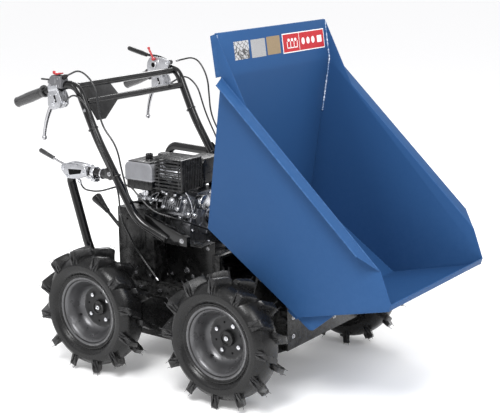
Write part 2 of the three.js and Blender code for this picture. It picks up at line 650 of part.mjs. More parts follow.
function subframeGeometry() {
  const top = FLOOR_Z - GAP;
  const rails = [1, -1].map((sign) => block([-170, sign * 129 - 17, 37], [200, sign * 129 + 17, top]));
  const bars = [block([-170, -146, 40], [-145, 146, top]), block([160, -264, 42], [198, 264, top])];
  const lugOutline = [[-34, 58], [34, 58], [20, -8], [9, -21], [-9, -21], [-20, -8]];
  const lugs = [1, -1].map((sign) =>
    plateY(lugOutline, sign * 149 - 8, sign * 149 + 8, [[0, 0, 10 + GAP]]));
  const gusset = [[130, top], [150, 50], [248, 48], [259, 56], [289, 155], [203.6, top - 0.6]];
  const gussets = [1, -1].map((sign) => plateY(gusset, sign * 261 - 3, sign * 261 + 3));
  return join(...rails, ...bars, ...lugs, ...gussets);
}

function addTub() {
  const tub = new THREE.Group();
  tub.position.set(PIVOT_X, 0, PIVOT_Z);
  tub.rotation.y = DUMP_ANGLE;
  machine.add(tub);
  const blue = () => paint(TUB_BLUE, 0.4, 0.1);
  add('tub_pan', panGeometry(), blue(), tub);
  add('tub_side_right', tubSideGeometry(-1), blue(), tub);
  add('tub_side_left', tubSideGeometry(1), blue(), tub);
  add('tub_subframe', subframeGeometry(), blue(), tub);
}

// Hook that holds the lowered tub by its striker bar, drawn closed and swung open by OPEN.
function addLatch() {
  const OPEN = THREE.MathUtils.degToRad(-30);
  const outline = [[-9, -8], [9, -8], [9, 14], [12, 18], [30, 18], [34, 12], [41, 16], [40, 28], [32, 34],
    [0, 34], [-9, 24]];
  const latch = new THREE.Group();
  latch.position.set(296, 0, 440);
  latch.rotation.y = OPEN;
  machine.add(latch);
  add('latch_hook', join(plateY(outline, -5, 5), rod([0, -8.6, 0], [0, 8.6, 0], 5, 10)),
    paint(SILVER, 0.4, 0.7), latch);
}

// ---- cables ----
function addCables() {
  const sheath = () => paint(0x4a4b50, 0.6, 0);
  const cable = (points, radius = 3) => tube(points, radius, { bend: 40, steps: 2, sides: 8 });
  add('cable_throttle', cable([[-181, -262, 942], [-93, -276, 975], [-30, -276, 930], [-10, -276, 800],
    [54, -276, 738], [74, -276, 650], [106, -278, 560], [70, -200, 545], [40, -175, 532],
    [40, -134.6, 532]]), sheath());
  add('cable_steering_right', cable([[-185, -268, 858], [-120, -280, 895], [-64, -280, 860], [-30, -283, 760],
    [60, -283, 600], [66, -283, 505], [60, -240, 440], [60, -206, 380], [150, -206, 290]]), sheath());
  add('cable_steering_left', cable([[-185, 268, 858], [-120, 280, 895], [-64, 280, 860], [-30, 283, 760],
    [60, 283, 600], [66, 283, 505], [60, 240, 440], [60, 206, 380], [150, 206, 290]]), sheath());
  add('cable_drive', cable([[-148, 266, 944], [-60, 272, 965], [-10, 272, 900], [0, 274, 760], [84, 276, 620],
    [94, 276, 520], [86, 240, 450], [86, 206, 380], [180, 206, 290]]), sheath());
  add('cable_release', cable([[-134, -262, 602], [-104, -272, 576], [-44, -266, 574], [0, -230, 590],
    [52, -222, 604], [100, -222, 560], [150, -216, 522], [215, -190, 505], [262, -120, 470], [294, -60, 436],
    [294, -15.4, 436]]), sheath());
}

addWheels();
addChassis();
addEngine();
addHandle();
addTub();
addLatch();
addCables();

export default machine;
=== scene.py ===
"""Power wheelbarrow: the visual model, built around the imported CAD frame.

Shapes are laid out in millimetres from the rear axle's middle on the ground, X forward,
Y to the machine's left and Z up, and put into the frame's metres by Piece.
"""
import math
import random

import bmesh
import bpy
from mathutils import Matrix, Vector


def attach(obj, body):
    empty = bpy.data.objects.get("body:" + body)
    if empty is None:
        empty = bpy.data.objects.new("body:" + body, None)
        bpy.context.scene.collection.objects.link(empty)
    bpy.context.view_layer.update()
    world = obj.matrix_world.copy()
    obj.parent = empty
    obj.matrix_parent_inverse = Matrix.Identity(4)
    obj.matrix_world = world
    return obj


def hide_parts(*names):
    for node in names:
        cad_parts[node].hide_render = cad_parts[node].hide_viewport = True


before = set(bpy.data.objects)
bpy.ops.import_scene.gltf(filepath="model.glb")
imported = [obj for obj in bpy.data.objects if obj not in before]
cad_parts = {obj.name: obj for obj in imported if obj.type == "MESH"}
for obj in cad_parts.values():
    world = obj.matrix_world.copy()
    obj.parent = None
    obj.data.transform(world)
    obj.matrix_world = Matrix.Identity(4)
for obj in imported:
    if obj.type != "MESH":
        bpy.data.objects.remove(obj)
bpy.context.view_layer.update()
CENTRE_X = 331.95                  # middle of the machine from the rear axle
TO_FRAME = Matrix.Scale(0.001, 4) @ Matrix.Translation((-CENTRE_X, 0, 0))
random.seed(7)

AXLE_Z = 205
WHEEL_Y = 350
WHEELBASE = 531
PIVOT = Vector((550, 0, 360))
DUMP_ANGLE = math.radians(33.9)


# ---- camera, light and floor ----
def place_camera():
    azimuth, elevation, roll = (math.radians(a) for a in (36.1334, 12.5765, -0.6495))
    back = Vector((math.sin(azimuth) * math.cos(elevation), -math.cos(azimuth) * math.cos(elevation),
                   math.sin(elevation)))
    right = Vector((math.cos(azimuth), math.sin(azimuth), 0))
    up = back.cross(right)
    across = right * math.cos(roll) + up * math.sin(roll)
    upward = up * math.cos(roll) - right * math.sin(roll)
    data = bpy.data.cameras.new("camera")
    data.lens = 86.87
    data.sensor_width = 36
    data.shift_x = -0.0306
    data.shift_y = -0.0396
    data.clip_end = 60
    camera = bpy.data.objects.new("camera", data)
    bpy.context.scene.collection.objects.link(camera)
    turn = Matrix((across, upward, back)).transposed().to_4x4()
    camera.matrix_world = Matrix.Translation(Vector((0.1054, 0, 0.6006)) + back * 3.8739) @ turn
    bpy.context.scene.camera = camera


def area_light(name, place, target, size, power, colour=(1, 1, 1)):
    data = bpy.data.lights.new(name, "AREA")
    data.shape = "RECTANGLE"
    data.size, data.size_y = size
    data.energy = power
    data.color = colour
    light = bpy.data.objects.new(name, data)
    bpy.context.scene.collection.objects.link(light)
    light.location = place
    light.rotation_mode = "QUATERNION"
    light.rotation_quaternion = (Vector(target) - Vector(place)).to_track_quat("-Z", "Y")


def set_stage():
    scene = bpy.context.scene
    scene.view_settings.view_transform = "Standard"
    world = bpy.data.worlds.new("world")
    scene.world = world
    world.use_nodes = True
    tree = world.node_tree
    background = tree.nodes["Background"]
    background.inputs["Strength"].default_value = 1.0
    coords = tree.nodes.new("ShaderNodeTexCoord")
    height = tree.nodes.new("ShaderNodeSeparateXYZ")
    tree.links.new(coords.outputs["Generated"], height.inputs["Vector"])
    sky = tree.nodes.new("ShaderNodeValToRGB")
    for place, shade in ((0.0, 0.33), (0.3, 0.38), (0.62, 0.72), (1.0, 1.1)):
        element = sky.color_ramp.elements.new(place) if 0 < place < 1 else sky.color_ramp.elements[int(place)]
        element.color = (shade, shade, shade * 1.02, 1)
    tree.links.new(height.outputs["Z"], sky.inputs["Fac"])
    tree.links.new(sky.outputs["Color"], background.inputs["Color"])
    bm = bmesh.new()
    bmesh.ops.create_grid(bm, x_segments=1, y_segments=1, size=60)
    mesh = bpy.data.meshes.new("floor")
    bm.to_mesh(mesh)
    floor = bpy.data.objects.new("floor", mesh)
    scene.collection.objects.link(floor)
    material = bpy.data.materials.new("floor_paper")
    material.use_nodes = True
    shader = material.node_tree.nodes["Principled BSDF"]
    shader.inputs["Base Color"].default_value = (0.93, 0.93, 0.93, 1)
    shader.inputs["Roughness"].default_value = 0.9
    shader.inputs["Emission Color"].default_value = (1, 1, 1, 1)
    shader.inputs["Emission Strength"].default_value = 0.14
    mesh.materials.append(material)
    area_light("key", (1.1, -2.6, 3.8), (0.2, 0, 0.5), (1.6, 1.6), 160)
    area_light("front", (3.0, -0.6, 2.6), (0.3, 0, 0.5), (1.6, 1.6), 60)
    area_light("streak", (-1.8, -3.2, 2.2), (-0.3, 0, 0.5), (0.25, 2.6), 9)
    area_light("rim", (-2.2, 2.8, 2.8), (0, 0, 0.6), (1.6, 1.2), 45)


# ---- finishes ----
def link(tree, a, b):
    tree.links.new(a, b)


def noise_node(tree, scale, detail=4.0, rough=0.55, stretch=None):
    coords = tree.nodes.new("ShaderNodeTexCoord")
    source = coords.outputs["Object"]
    if stretch:
        mapping = tree.nodes.new("ShaderNodeMapping")
        mapping.inputs["Scale"].default_value = stretch
        link(tree, source, mapping.inputs["Vector"])
        source = mapping.outputs["Vector"]
    noise = tree.nodes.new("ShaderNodeTexNoise")
    noise.inputs["Scale"].default_value = scale
    noise.inputs["Detail"].default_value = detail
    noise.inputs["Roughness"].default_value = rough
    link(tree, source, noise.inputs["Vector"])
    return noise.outputs["Fac"]


def ramp_node(tree, source, stops):
    ramp = tree.nodes.new("ShaderNodeValToRGB")
    elements = ramp.color_ramp.elements
    while len(elements) < len(stops):
        elements.new(0.5)
    for element, (place, colour) in zip(elements, stops):
        element.position = place
        element.color = (*colour, 1) if len(colour) == 3 else colour
    link(tree, source, ramp.inputs["Fac"])
    return ramp.outputs["Color"]


def mix_node(tree, factor, a, b, blend="MIX"):
    mix = tree.nodes.new("ShaderNodeMix")
    mix.data_type = "RGBA"
    mix.blend_type = blend
    link(tree, factor, mix.inputs[0])
    for index, value in ((6, a), (7, b)):
        if isinstance(value, tuple):
            mix.inputs[index].default_value = (*value, 1)
        else:
            link(tree, value, mix.inputs[index])
    return mix.outputs[2]


def finish(name, colour, rough, metal=0.0, spread=0.15, patch=9.0, edge_wear_and_glint=None, edge_wear_and_glint_at=(0.53, 0.6),
           grain=(700, 0.06), grime=None, coat=0.0, rough_spread=0.12, stretch=None, specular=0.5):
    """Procedural finish: mottled colour, paler worn edges (near-white painted glints on the weld finish), dust in
    hollows, grain and uneven gloss.
    """
    material = bpy.data.materials.new(name)
    material.use_nodes = True
    tree = material.node_tree
    shader = tree.nodes["Principled BSDF"]
    shader.inputs["Metallic"].default_value = metal
    shader.inputs["Coat Weight"].default_value = coat
    shader.inputs["Specular IOR Level"].default_value = specular
    shader.inputs["Coat Roughness"].default_value = 0.12
    dark = tuple(c * (1 - spread) for c in colour)
    light = tuple(min(1, c * (1 + spread)) for c in colour)
    shade = ramp_node(tree, noise_node(tree, patch, 6, 0.6, stretch), [(0.3, dark), (0.72, light)])
    geometry = tree.nodes.new("ShaderNodeNewGeometry")
    if grime:
        hollow = ramp_node(tree, geometry.outputs["Pointiness"], [(0.42, (1, 1, 1)), (0.5, (0, 0, 0))])
        patches = ramp_node(tree, noise_node(tree, 30, 5, 0.7), [(0.38, (0, 0, 0)), (0.7, (0.75, 0.75, 0.75))])
        shade = mix_node(tree, mix_node(tree, patches, (0, 0, 0), hollow), shade, grime)
    if edge_wear_and_glint:
        edge = ramp_node(tree, geometry.outputs["Pointiness"],
                         [(edge_wear_and_glint_at[0], (0, 0, 0)), (edge_wear_and_glint_at[1], (0.8, 0.8, 0.8))])
        patches = ramp_node(tree, noise_node(tree, 55, 5, 0.75), [(0.42, (0, 0, 0)), (0.62, (1, 1, 1))])
        shade = mix_node(tree, mix_node(tree, patches, (0, 0, 0), edge), shade, edge_wear_and_glint)
    link(tree, shade, shader.inputs["Base Color"])
    low, high = max(0.05, rough - rough_spread), min(1, rough + rough_spread)
    gloss = ramp_node(tree, noise_node(tree, patch * 3.1, 5, 0.65, stretch),
                      [(0.3, (low,) * 3), (0.7, (high,) * 3)])
    link(tree, gloss, shader.inputs["Roughness"])
    bump = tree.nodes.new("ShaderNodeBump")
    bump.inputs["Strength"].default_value = grain[1]
    bump.inputs["Distance"].default_value = 0.002
    link(tree, noise_node(tree, grain[0], 3, 0.6, stretch), bump.inputs["Height"])
    link(tree, bump.outputs["Normal"], shader.inputs["Normal"])
    return material


FINISH = {
    "black_paint": finish("black_paint", (0.0036, 0.0036, 0.0038), 0.12, edge_wear_and_glint=(0.03, 0.03, 0.03), grain=(420, 0.008),
                          coat=0.15, grime=(0.006, 0.006, 0.0058), rough_spread=0.03, specular=0.35),
    "box_paint": finish("box_paint", (0.003, 0.003, 0.0031), 0.26, edge_wear_and_glint=(0.05, 0.05, 0.05), grain=(380, 0.05),
                        grime=(0.01, 0.0095, 0.009), rough_spread=0.1, specular=0.3),
    "tub_blue": finish("tub_blue", (0.0205, 0.0655, 0.170), 0.5, spread=0.02, patch=2.2,
                       edge_wear_and_glint=(0.05, 0.12, 0.26), edge_wear_and_glint_at=(0.54, 0.66), grain=(900, 0.02), rough_spread=0.03,
                       specular=0.1),
    "tyre": finish("tyre", (0.006, 0.006, 0.0062), 0.27, spread=0.25, patch=14, edge_wear_and_glint=(0.05, 0.05, 0.052),
                   edge_wear_and_glint_at=(0.52, 0.62), grain=(520, 0.12), grime=(0.012, 0.0117, 0.0115), rough_spread=0.1,
                   specular=0.3),
    "rim_grey": finish("rim_grey", (0.1, 0.1, 0.104), 0.34, 0.65, spread=0.12, patch=10, edge_wear_and_glint=(0.42, 0.42, 0.42),
                       grain=(600, 0.04)),
    # Darker copy of the rim's grey for the centre disc: painted shade, the deep middle of the wheel drawn darker than
    # the bowl around it.
    "rim_centre_shade": finish("rim_centre_shade", (0.03, 0.03, 0.031), 0.4, 0.4, spread=0.15, patch=16,
                        edge_wear_and_glint=(0.14, 0.14, 0.14), grain=(600, 0.04), specular=0.35),
    "rim_dark": finish("rim_dark", (0.006, 0.006, 0.0065), 0.32, spread=0.2, edge_wear_and_glint=(0.05, 0.05, 0.05), specular=0.4),
    "cast_silver": finish("cast_silver", (0.42, 0.425, 0.445), 0.34, 0.85, spread=0.2, patch=26,
                          edge_wear_and_glint=(0.75, 0.76, 0.79), grain=(700, 0.2), grime=(0.03, 0.03, 0.032)),
    "engine_cast": finish("engine_cast", (0.17, 0.172, 0.182), 0.3, 0.85, spread=0.3, patch=26,
                          edge_wear_and_glint=(0.6, 0.61, 0.64), grain=(600, 0.2), grime=(0.012, 0.012, 0.013)),
    "polished": finish("polished", (0.6, 0.61, 0.635), 0.2, 1.0, spread=0.1, patch=22, edge_wear_and_glint=(0.85, 0.85, 0.87),
                       grain=(500, 0.04), grime=(0.1, 0.1, 0.105), rough_spread=0.08),
    "steel": finish("steel", (0.4, 0.4, 0.415), 0.26, 1.0, spread=0.15, patch=40, edge_wear_and_glint=(0.75, 0.75, 0.76),
                    grain=(700, 0.05), grime=(0.08, 0.075, 0.07)),
    "iron": finish("iron", (0.02, 0.02, 0.0215), 0.5, 0.4, spread=0.25, patch=25, grain=(300, 0.25),
                   edge_wear_and_glint=(0.1, 0.1, 0.1), grime=(0.02, 0.018, 0.016)),
    "black_plastic": finish("black_plastic", (0.0055, 0.0055, 0.006), 0.3, edge_wear_and_glint=(0.05, 0.05, 0.051),
                            grain=(1100, 0.08), grime=(0.01, 0.0095, 0.009), specular=0.4),
    "filter_grey": finish("filter_grey", (0.27, 0.273, 0.29), 0.4, 0.25, spread=0.08, patch=30,
                          edge_wear_and_glint=(0.5, 0.5, 0.52), grain=(1500, 0.2)),
    "grip_rubber": finish("grip_rubber", (0.022, 0.022, 0.023), 0.17, spread=0.15, edge_wear_and_glint=(0.04, 0.04, 0.04),
                          grain=(1300, 0.05), coat=0.35, rough_spread=0.06),
    "housing_grey": finish("housing_grey", (0.11, 0.11, 0.117), 0.4, 0.2, edge_wear_and_glint=(0.3, 0.3, 0.31),
                           grain=(1000, 0.1)),
    "red_plastic": finish("red_plastic", (0.38, 0.008, 0.012), 0.28, spread=0.1, edge_wear_and_glint=(0.6, 0.12, 0.12),
                          grain=(800, 0.04), coat=0.3),
    "cable_sheath": finish("cable_sheath", (0.008, 0.008, 0.0085), 0.3, spread=0.15, edge_wear_and_glint=(0.05, 0.05, 0.052),
                           grain=(900, 0.05), coat=0.15, rough_spread=0.06),
    "whisker": finish("whisker", (0.03, 0.03, 0.033), 0.5, spread=0.1),
    # Near-black, almost unlit finish for thin sheets laid over holes, slots and recesses: painted shade standing in for
    # their dark insides.
    "hole_shade": finish("hole_shade", (0.003, 0.003, 0.003), 0.8, spread=0.1, specular=0.1),
}


# ---- mesh building ----
def rounded(points, bend=40.0, steps=10):
    """Dense path through the points, with each corner rounded off."""
    corners = [Vector(p) for p in points]
    path = [corners[0]]
    for before, corner, after in zip(corners, corners[1:], corners[2:]):
        reach = min(bend, (corner - before).length / 2.1, (corner - after).length / 2.1)
        a = corner.lerp(before, reach / (corner - before).length)
        b = corner.lerp(after, reach / (corner - after).length)
        for i in range(steps + 1):
            t = i / steps
            path.append(a * (1 - t) ** 2 + corner * 2 * t * (1 - t) + b * t ** 2)
    path.append(corners[-1])
    return path


def spline(points, steps=8):
    """Dense smooth path through all the points."""
    p = [Vector(q) for q in points]
    p = [p[0] * 2 - p[1]] + p + [p[-1] * 2 - p[-2]]
    path = []
    for a, b, c, d in zip(p, p[1:], p[2:], p[3:]):
        for i in range(steps):
            t = i / steps
            path.append(0.5 * (b * 2 + (c - a) * t + (a * 2 - b * 5 + c * 4 - d) * t ** 2
                               + (b * 3 - a - c * 3 + d) * t ** 3))
    path.append(p[-2])
    return path


def sweep(path, radius, sides=20, across=None, squash=1.0, spin=0.0, section=None):
    """Capped tube along a path. radius is a number or one per station; squash flattens one way."""
    bm = bmesh.new()
    path = [Vector(p) for p in path]
    radii = radius if isinstance(radius, (list, tuple)) else [radius] * len(path)
    tangents = []
    for i in range(len(path)):
        ahead = path[min(i + 1, len(path) - 1)] - path[max(i - 1, 0)]
        tangents.append(ahead.normalized())
    side = Vector(across) if across else tangents[0].orthogonal()
    rings = []
    for place, tangent, r in zip(path, tangents, radii):
        side = (side - tangent * side.dot(tangent)).normalized()
        other = tangent.cross(side)
        ring = []
        for k in range(sides):
            angle = 2 * math.pi * k / sides + spin
            if section:
                a, b = section[k]
            else:
                a, b = math.cos(angle), math.sin(angle) * squash
            ring.append(bm.verts.new(place + side * r * a + other * r * b))
        rings.append(ring)
    for low, high in zip(rings, rings[1:]):
        for k in range(sides):
            bm.faces.new((low[k], low[(k + 1) % sides], high[(k + 1) % sides], high[k]))
    bm.faces.new(rings[0][::-1])
    bm.faces.new(rings[-1])
    return bm


def lathe(profile, centre=(0, 0, 0), axis=(0, 1, 0), segments=64, closed=False):
    """Profile of (radius, distance along axis) turned about the axis."""
    bm = bmesh.new()
    axis = Vector(axis).normalized()
    side = axis.orthogonal().normalized()
    other = axis.cross(side)
    rings = []
    for r, t in profile:
        if r < 1e-6:
            rings.append([bm.verts.new(Vector(centre) + axis * t)])
            continue
        rings.append([bm.verts.new(Vector(centre) + axis * t + (side * math.cos(a) + other * math.sin(a)) * r)
                      for a in (2 * math.pi * k / segments for k in range(segments))])
    pairs = list(zip(rings, rings[1:])) + ([(rings[-1], rings[0])] if closed else [])
    for low, high in pairs:
        for k in range(segments):
            n = (k + 1) % segments
            if len(low) == 1 and len(high) > 1:
                bm.faces.new((low[0], high[k], high[n]))
            elif len(high) == 1 and len(low) > 1:
                bm.faces.new((low[k], high[0], low[n]))
            elif len(low) > 1:
                bm.faces.new((low[k], high[k], high[n], low[n]))
    if not closed:
        for ring, flip in ((rings[0], False), (rings[-1], True)):
            if len(ring) > 1:
                bm.faces.new(ring[::-1] if flip else ring)
    bmesh.ops.recalc_face_normals(bm, faces=bm.faces)
    return bm


def rod(start, end, radius, segments=24, edge=1.0, end_radius=None):
    """Round bar with chamfered ends."""
    start, end = Vector(start), Vector(end)
    length = (end - start).length
    last = radius if end_radius is None else end_radius
    edge = min(edge, length / 3, radius / 2, last / 2)
    profile = [(0, 0), (radius - edge, 0), (radius, edge), (last, length - edge), (last - edge, length), (0, length)]
    return lathe(profile, start, end - start, segments)


def plate(outline, low, high, plane="xz", edge=1.0, steps=2):
    """Flat sheet or block of the given outline, with softened edges."""
    bm = bmesh.new()
    put = {"xz": lambda a, b, t: (a, t, b), "yz": lambda a, b, t: (t, a, b), "xy": lambda a, b, t: (a, b, t)}[plane]
    face = bm.faces.new([bm.verts.new(put(a, b, low)) for a, b in outline])
    grown = bmesh.ops.extrude_face_region(bm, geom=[face])
    shift = Vector(put(0, 0, high - low))
    bmesh.ops.translate(bm, vec=shift, verts=[g for g in grown["geom"] if isinstance(g, bmesh.types.BMVert)])
    bmesh.ops.recalc_face_normals(bm, faces=bm.faces)
    if edge:
        bmesh.ops.bevel(bm, geom=list(bm.edges), offset=edge, segments=steps, affect="EDGES", profile=0.5,
                        clamp_overlap=True)
    return bm


def box(low, high, edge=1.0, steps=2):
    outline = [(low[0], low[1]), (high[0], low[1]), (high[0], high[1]), (low[0], high[1])]
    return plate(outline, low[2], high[2], "xy", edge, steps)


def hex_bolt(place, direction, size=6.0, height=4.0, washer=True):
    """Bolt head: washer, hexagon with a chamfered top, and a shallow dish."""
    place, direction = Vector(place), Vector(direction).normalized()
    bm = lathe([(0, 0), (size * 0.98, 0), (size, 0.35 * height), (size * 0.9, height), (size * 0.55, height),
                (size * 0.45, height * 0.82), (0, height * 0.82)], place + direction * (1.2 if washer else 0),
               direction, 6)
    parts = [bm]
    if washer:
        parts.append(lathe([(0, 0), (size * 1.45, 0), (size * 1.45, 1.0), (size * 1.3, 1.3), (0, 1.3)], place,
                           direction, 24))
    return merged(parts)


def merged(parts):
    whole = bmesh.new()
    for bm in parts:
        mesh = bpy.data.meshes.new("part")
        bm.to_mesh(mesh)
        whole.from_mesh(mesh)
        bpy.data.meshes.remove(mesh)
        bm.free()
    return whole


def moved(bm, matrix):
    bmesh.ops.transform(bm, matrix=matrix, verts=bm.verts)
    if matrix.determinant() < 0:
        bmesh.ops.reverse_faces(bm, faces=bm.faces)
    return bm


def mirrored(bm):
    return moved(bm, Matrix.Scale(-1, 4, (0, 1, 0)))




def piece(name, finish_name, parts, body="root", stands_for=(), sharp=32, local=None):
    """Joins the parts into one object, places it, and lets it ride on its body."""
    bm = merged(parts)
    if local:
        moved(bm, local)
    moved(bm, TO_FRAME)
    mesh = bpy.data.meshes.new(name)
    bm.to_mesh(mesh)
    bm.free()
    mesh.shade_smooth()
    mesh.set_sharp_from_angle(angle=math.radians(sharp))
    mesh.materials.append(FINISH[finish_name])
    made = bpy.data.objects.new(name, mesh)
    bpy.context.scene.collection.objects.link(made)
    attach(made, body)
    if stands_for:
        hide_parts(*([stands_for] if isinstance(stands_for, str) else stands_for))
    return made


def crisp(node, finish_name, edge=1.2, steps=2, name=None, body="root"):
    """The CAD node's own shape with its flat faces merged and its edges softened."""
    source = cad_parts[node]
    bm = bmesh.new()
    bm.from_mesh(source.data)
    bmesh.ops.remove_doubles(bm, verts=bm.verts, dist=2e-6)
    bmesh.ops.dissolve_limit(bm, angle_limit=math.radians(1.5), verts=bm.verts, edges=bm.edges)
    sharp = [e for e in bm.edges if len(e.link_faces) == 2 and e.calc_face_angle(0) > math.radians(24)]
    bmesh.ops.bevel(bm, geom=sharp, offset=edge / 1000, segments=steps, affect="EDGES", profile=0.5,
                    clamp_overlap=True)
    mesh = bpy.data.meshes.new(node + "_shape")
    bm.to_mesh(mesh)
    bm.free()
    mesh.shade_smooth()
    mesh.set_sharp_from_angle(angle=math.radians(40))
    mesh.materials.append(FINISH[finish_name])
    made = bpy.data.objects.new(name or node + "_body", mesh)
    bpy.context.scene.collection.objects.link(made)
    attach(made, body)
    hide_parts(node)
    return made


# ---- wheels ----
TYRE_HALF = [(102.6, 33.7), (104.5, 36.5), (110, 38.2), (116, 37.8), (119, 39.6), (121, 42.8), (123.5, 43.2),
             (125.4, 41.6), (127.5, 43.6), (131, 48.6), (137, 52.2), (144, 53.8), (152, 53.2), (155, 53.8),
             (157, 53.2), (161, 51.2), (167, 47.2), (173, 41), (178, 33), (182, 22), (184, 11)]


def lug(angle, side):
    """One tread bar from the middle of the tread over the shoulder, with its end ribs."""
    out = Vector((math.cos(angle), 0, math.sin(angle)))
    along = Vector((math.sin(angle) * side, 0, -math.cos(angle) * side))
    axial = Vector((0, side, 0))
    place = Matrix((along, axial, out)).transposed().to_4x4()
    stations = [(-2, -16, 8.0, 12.0, 197, 178), (4, -13, 8.6, 13.5, 204.2, 178), (14, -7.5, 8.4, 13.0, 204.6, 176),
                (26, -0.5, 8.6, 13.0, 204.6, 172), (38, 6.5, 9.8, 14.0, 204.2, 166), (47, 11.5, 11.5, 15.5, 203.2, 158),
                (51.5, 13.5, 12.2, 16.0, 200.5, 152)]
    bm = bmesh.new()
    rings = []
    for v, u, top, root, high, low in stations:
        points = [(u - root, low), (u - top, high), (u + top, high), (u + root, low)]
        rings.append([bm.verts.new((a, v, math.sqrt(max(h * h - a * a, 1)))) for a, h in points])
    for a, b in zip(rings, rings[1:]):
        for k in range(4):
            bm.faces.new((a[k], a[(k + 1) % 4], b[(k + 1) % 4], b[k]))
    bm.faces.new(rings[0][::-1])
    bm.faces.new(rings[-1])
    bmesh.ops.recalc_face_normals(bm, faces=bm.faces)
    bmesh.ops.bevel(bm, geom=[e for e in bm.edges if e.calc_face_angle(0) > 0.6], offset=1.7, segments=2,
                    affect="EDGES", profile=0.6, clamp_overlap=True)
    ribs = []
    for edge_u, foot_u in ((3.5, 9.5), (23.5, 17.0)):
        path = [(edge_u, 50.0, 196.5), (edge_u * 0.6 + foot_u * 0.4, 53.0, 183), (foot_u, 54.5, 168), (foot_u, 53.5, 158)]
        ribs.append(sweep([Vector(p) for p in path], [3.6, 3.4, 3.0, 1.6], 8, across=(1, 0, 0)))
    return moved(merged([bm, *ribs]), place), place


def tyre_parts():
    half = TYRE_HALF
    inner = [(102.6, 21), (150, 36), (176, 24)]
    profile = (half + [(184.6, 0)] + [(r, -y) for r, y in reversed(half)]
               + [(r, -y) for r, y in inner] + [(178, 0)] + [(r, y) for r, y in reversed(inner)])
    parts = [lathe(profile, axis=(0, 1, 0), segments=120, closed=True)]
    whiskers = []
    for i in range(12):
        for side in (1, -1):
            angle = -math.pi / 2 + (i + (0 if side > 0 else 0.5)) * math.pi / 6
            bar, place = lug(angle, side)
            parts.append(bar)
            for u in (3.5, 22.0):
                reach = 11 + 5 * random.random()
                lean = random.uniform(-3, 3)
                ends = [Vector((u, 50.5, 198)), Vector((u + lean * 0.4, 52.5, 198 + reach * 0.5)),
                        Vector((u + lean, 54, min(198 + reach, 212)))]
                whiskers.append(moved(sweep(spline(ends, 3), [0.75] * 6 + [0.4], 6), place))
    return parts, whiskers


def bowl():
    """Rim turned as one closed shell; the profile runs from the outer lip round the back to the bowl."""
    outer = [(110.5, 39.2), (113.4, 38.8), (114.8, 37.4), (114.2, 35.8), (111, 35.0), (103, 33.6), (101.8, 31),
             (101.6, 22), (96, 12), (90, 6), (90, -12), (96, -18), (101.6, -24), (101.8, -32), (104, -34),
             (112.5, -35), (114.2, -36.4), (112.6, -38.6), (107, -38.4), (99, -36), (94, -31.5), (90, -30)]
    inner = [(68, -30), (68, -22.4), (72, -19.5), (77.5, -14), (81.4, -7), (84.2, 1), (86.6, 9.5), (90.2, 17),
             (93.6, 24), (96.2, 29.4), (99.6, 33), (103.4, 34.6), (106, 36.4), (108, 38.4)]
    # The centre disc is its own lathe so that it can take the darker painted shade.
    disc = [(0, -30), (68.2, -30), (68.2, -22.3), (60, -24), (0, -24)]
    return lathe(outer + inner, segments=96, closed=True), lathe(disc, segments=96)


def wheel_small_parts(turn):
    bolts, hole_shades = [], []
    for k in range(4):
        a = turn + k * math.pi / 2
        x, z = 47 * math.cos(a), 47 * math.sin(a)
        bolts.append(lathe([(0, 0), (8.6, 0), (8.6, 5.5), (7.6, 8.2), (5, 10.2), (0, 11)], (x, -24.2, z), (0, 1, 0), 28))
        b = a + math.pi / 4
        x, z = 49 * math.cos(b), 49 * math.sin(b)
        # Thin dark discs stand for the holes in the rim disc: painted shade, not openings.
        hole_shades.append(lathe([(0, 0), (3.6, 0), (3.6, 0.5), (3.0, 0.8), (0, 0.8)], (x, -24.2, z), (0, 1, 0), 20))
    cap = lathe([(0, 0), (25, 0), (25, 9), (23.6, 12.5), (20.5, 14), (18, 13.2), (17, 10), (11, 10), (9.5, 12.5),
                 (0, 12.5)], (0, -24.5, 0), (0, 1, 0), 48)
    hub = lathe([(0, 0), (58, 0), (58, -11), (50, -13), (30, -14), (26, -22), (26, -30), (0, -30)], (0, -30.3, 0),
                (0, 1, 0), 48)
    centre = hex_bolt((0, -12, 0), (0, 1, 0), 5.0, 3.5)
    valve = merged([rod((84, -18, 0), (74, 2, 3), 2.6, 14, 0.6), rod((74.4, 1.2, 2.9), (70.5, 9, 4), 3.4, 14, 0.8)])
    return bolts, hole_shades, cap, hub, centre, valve


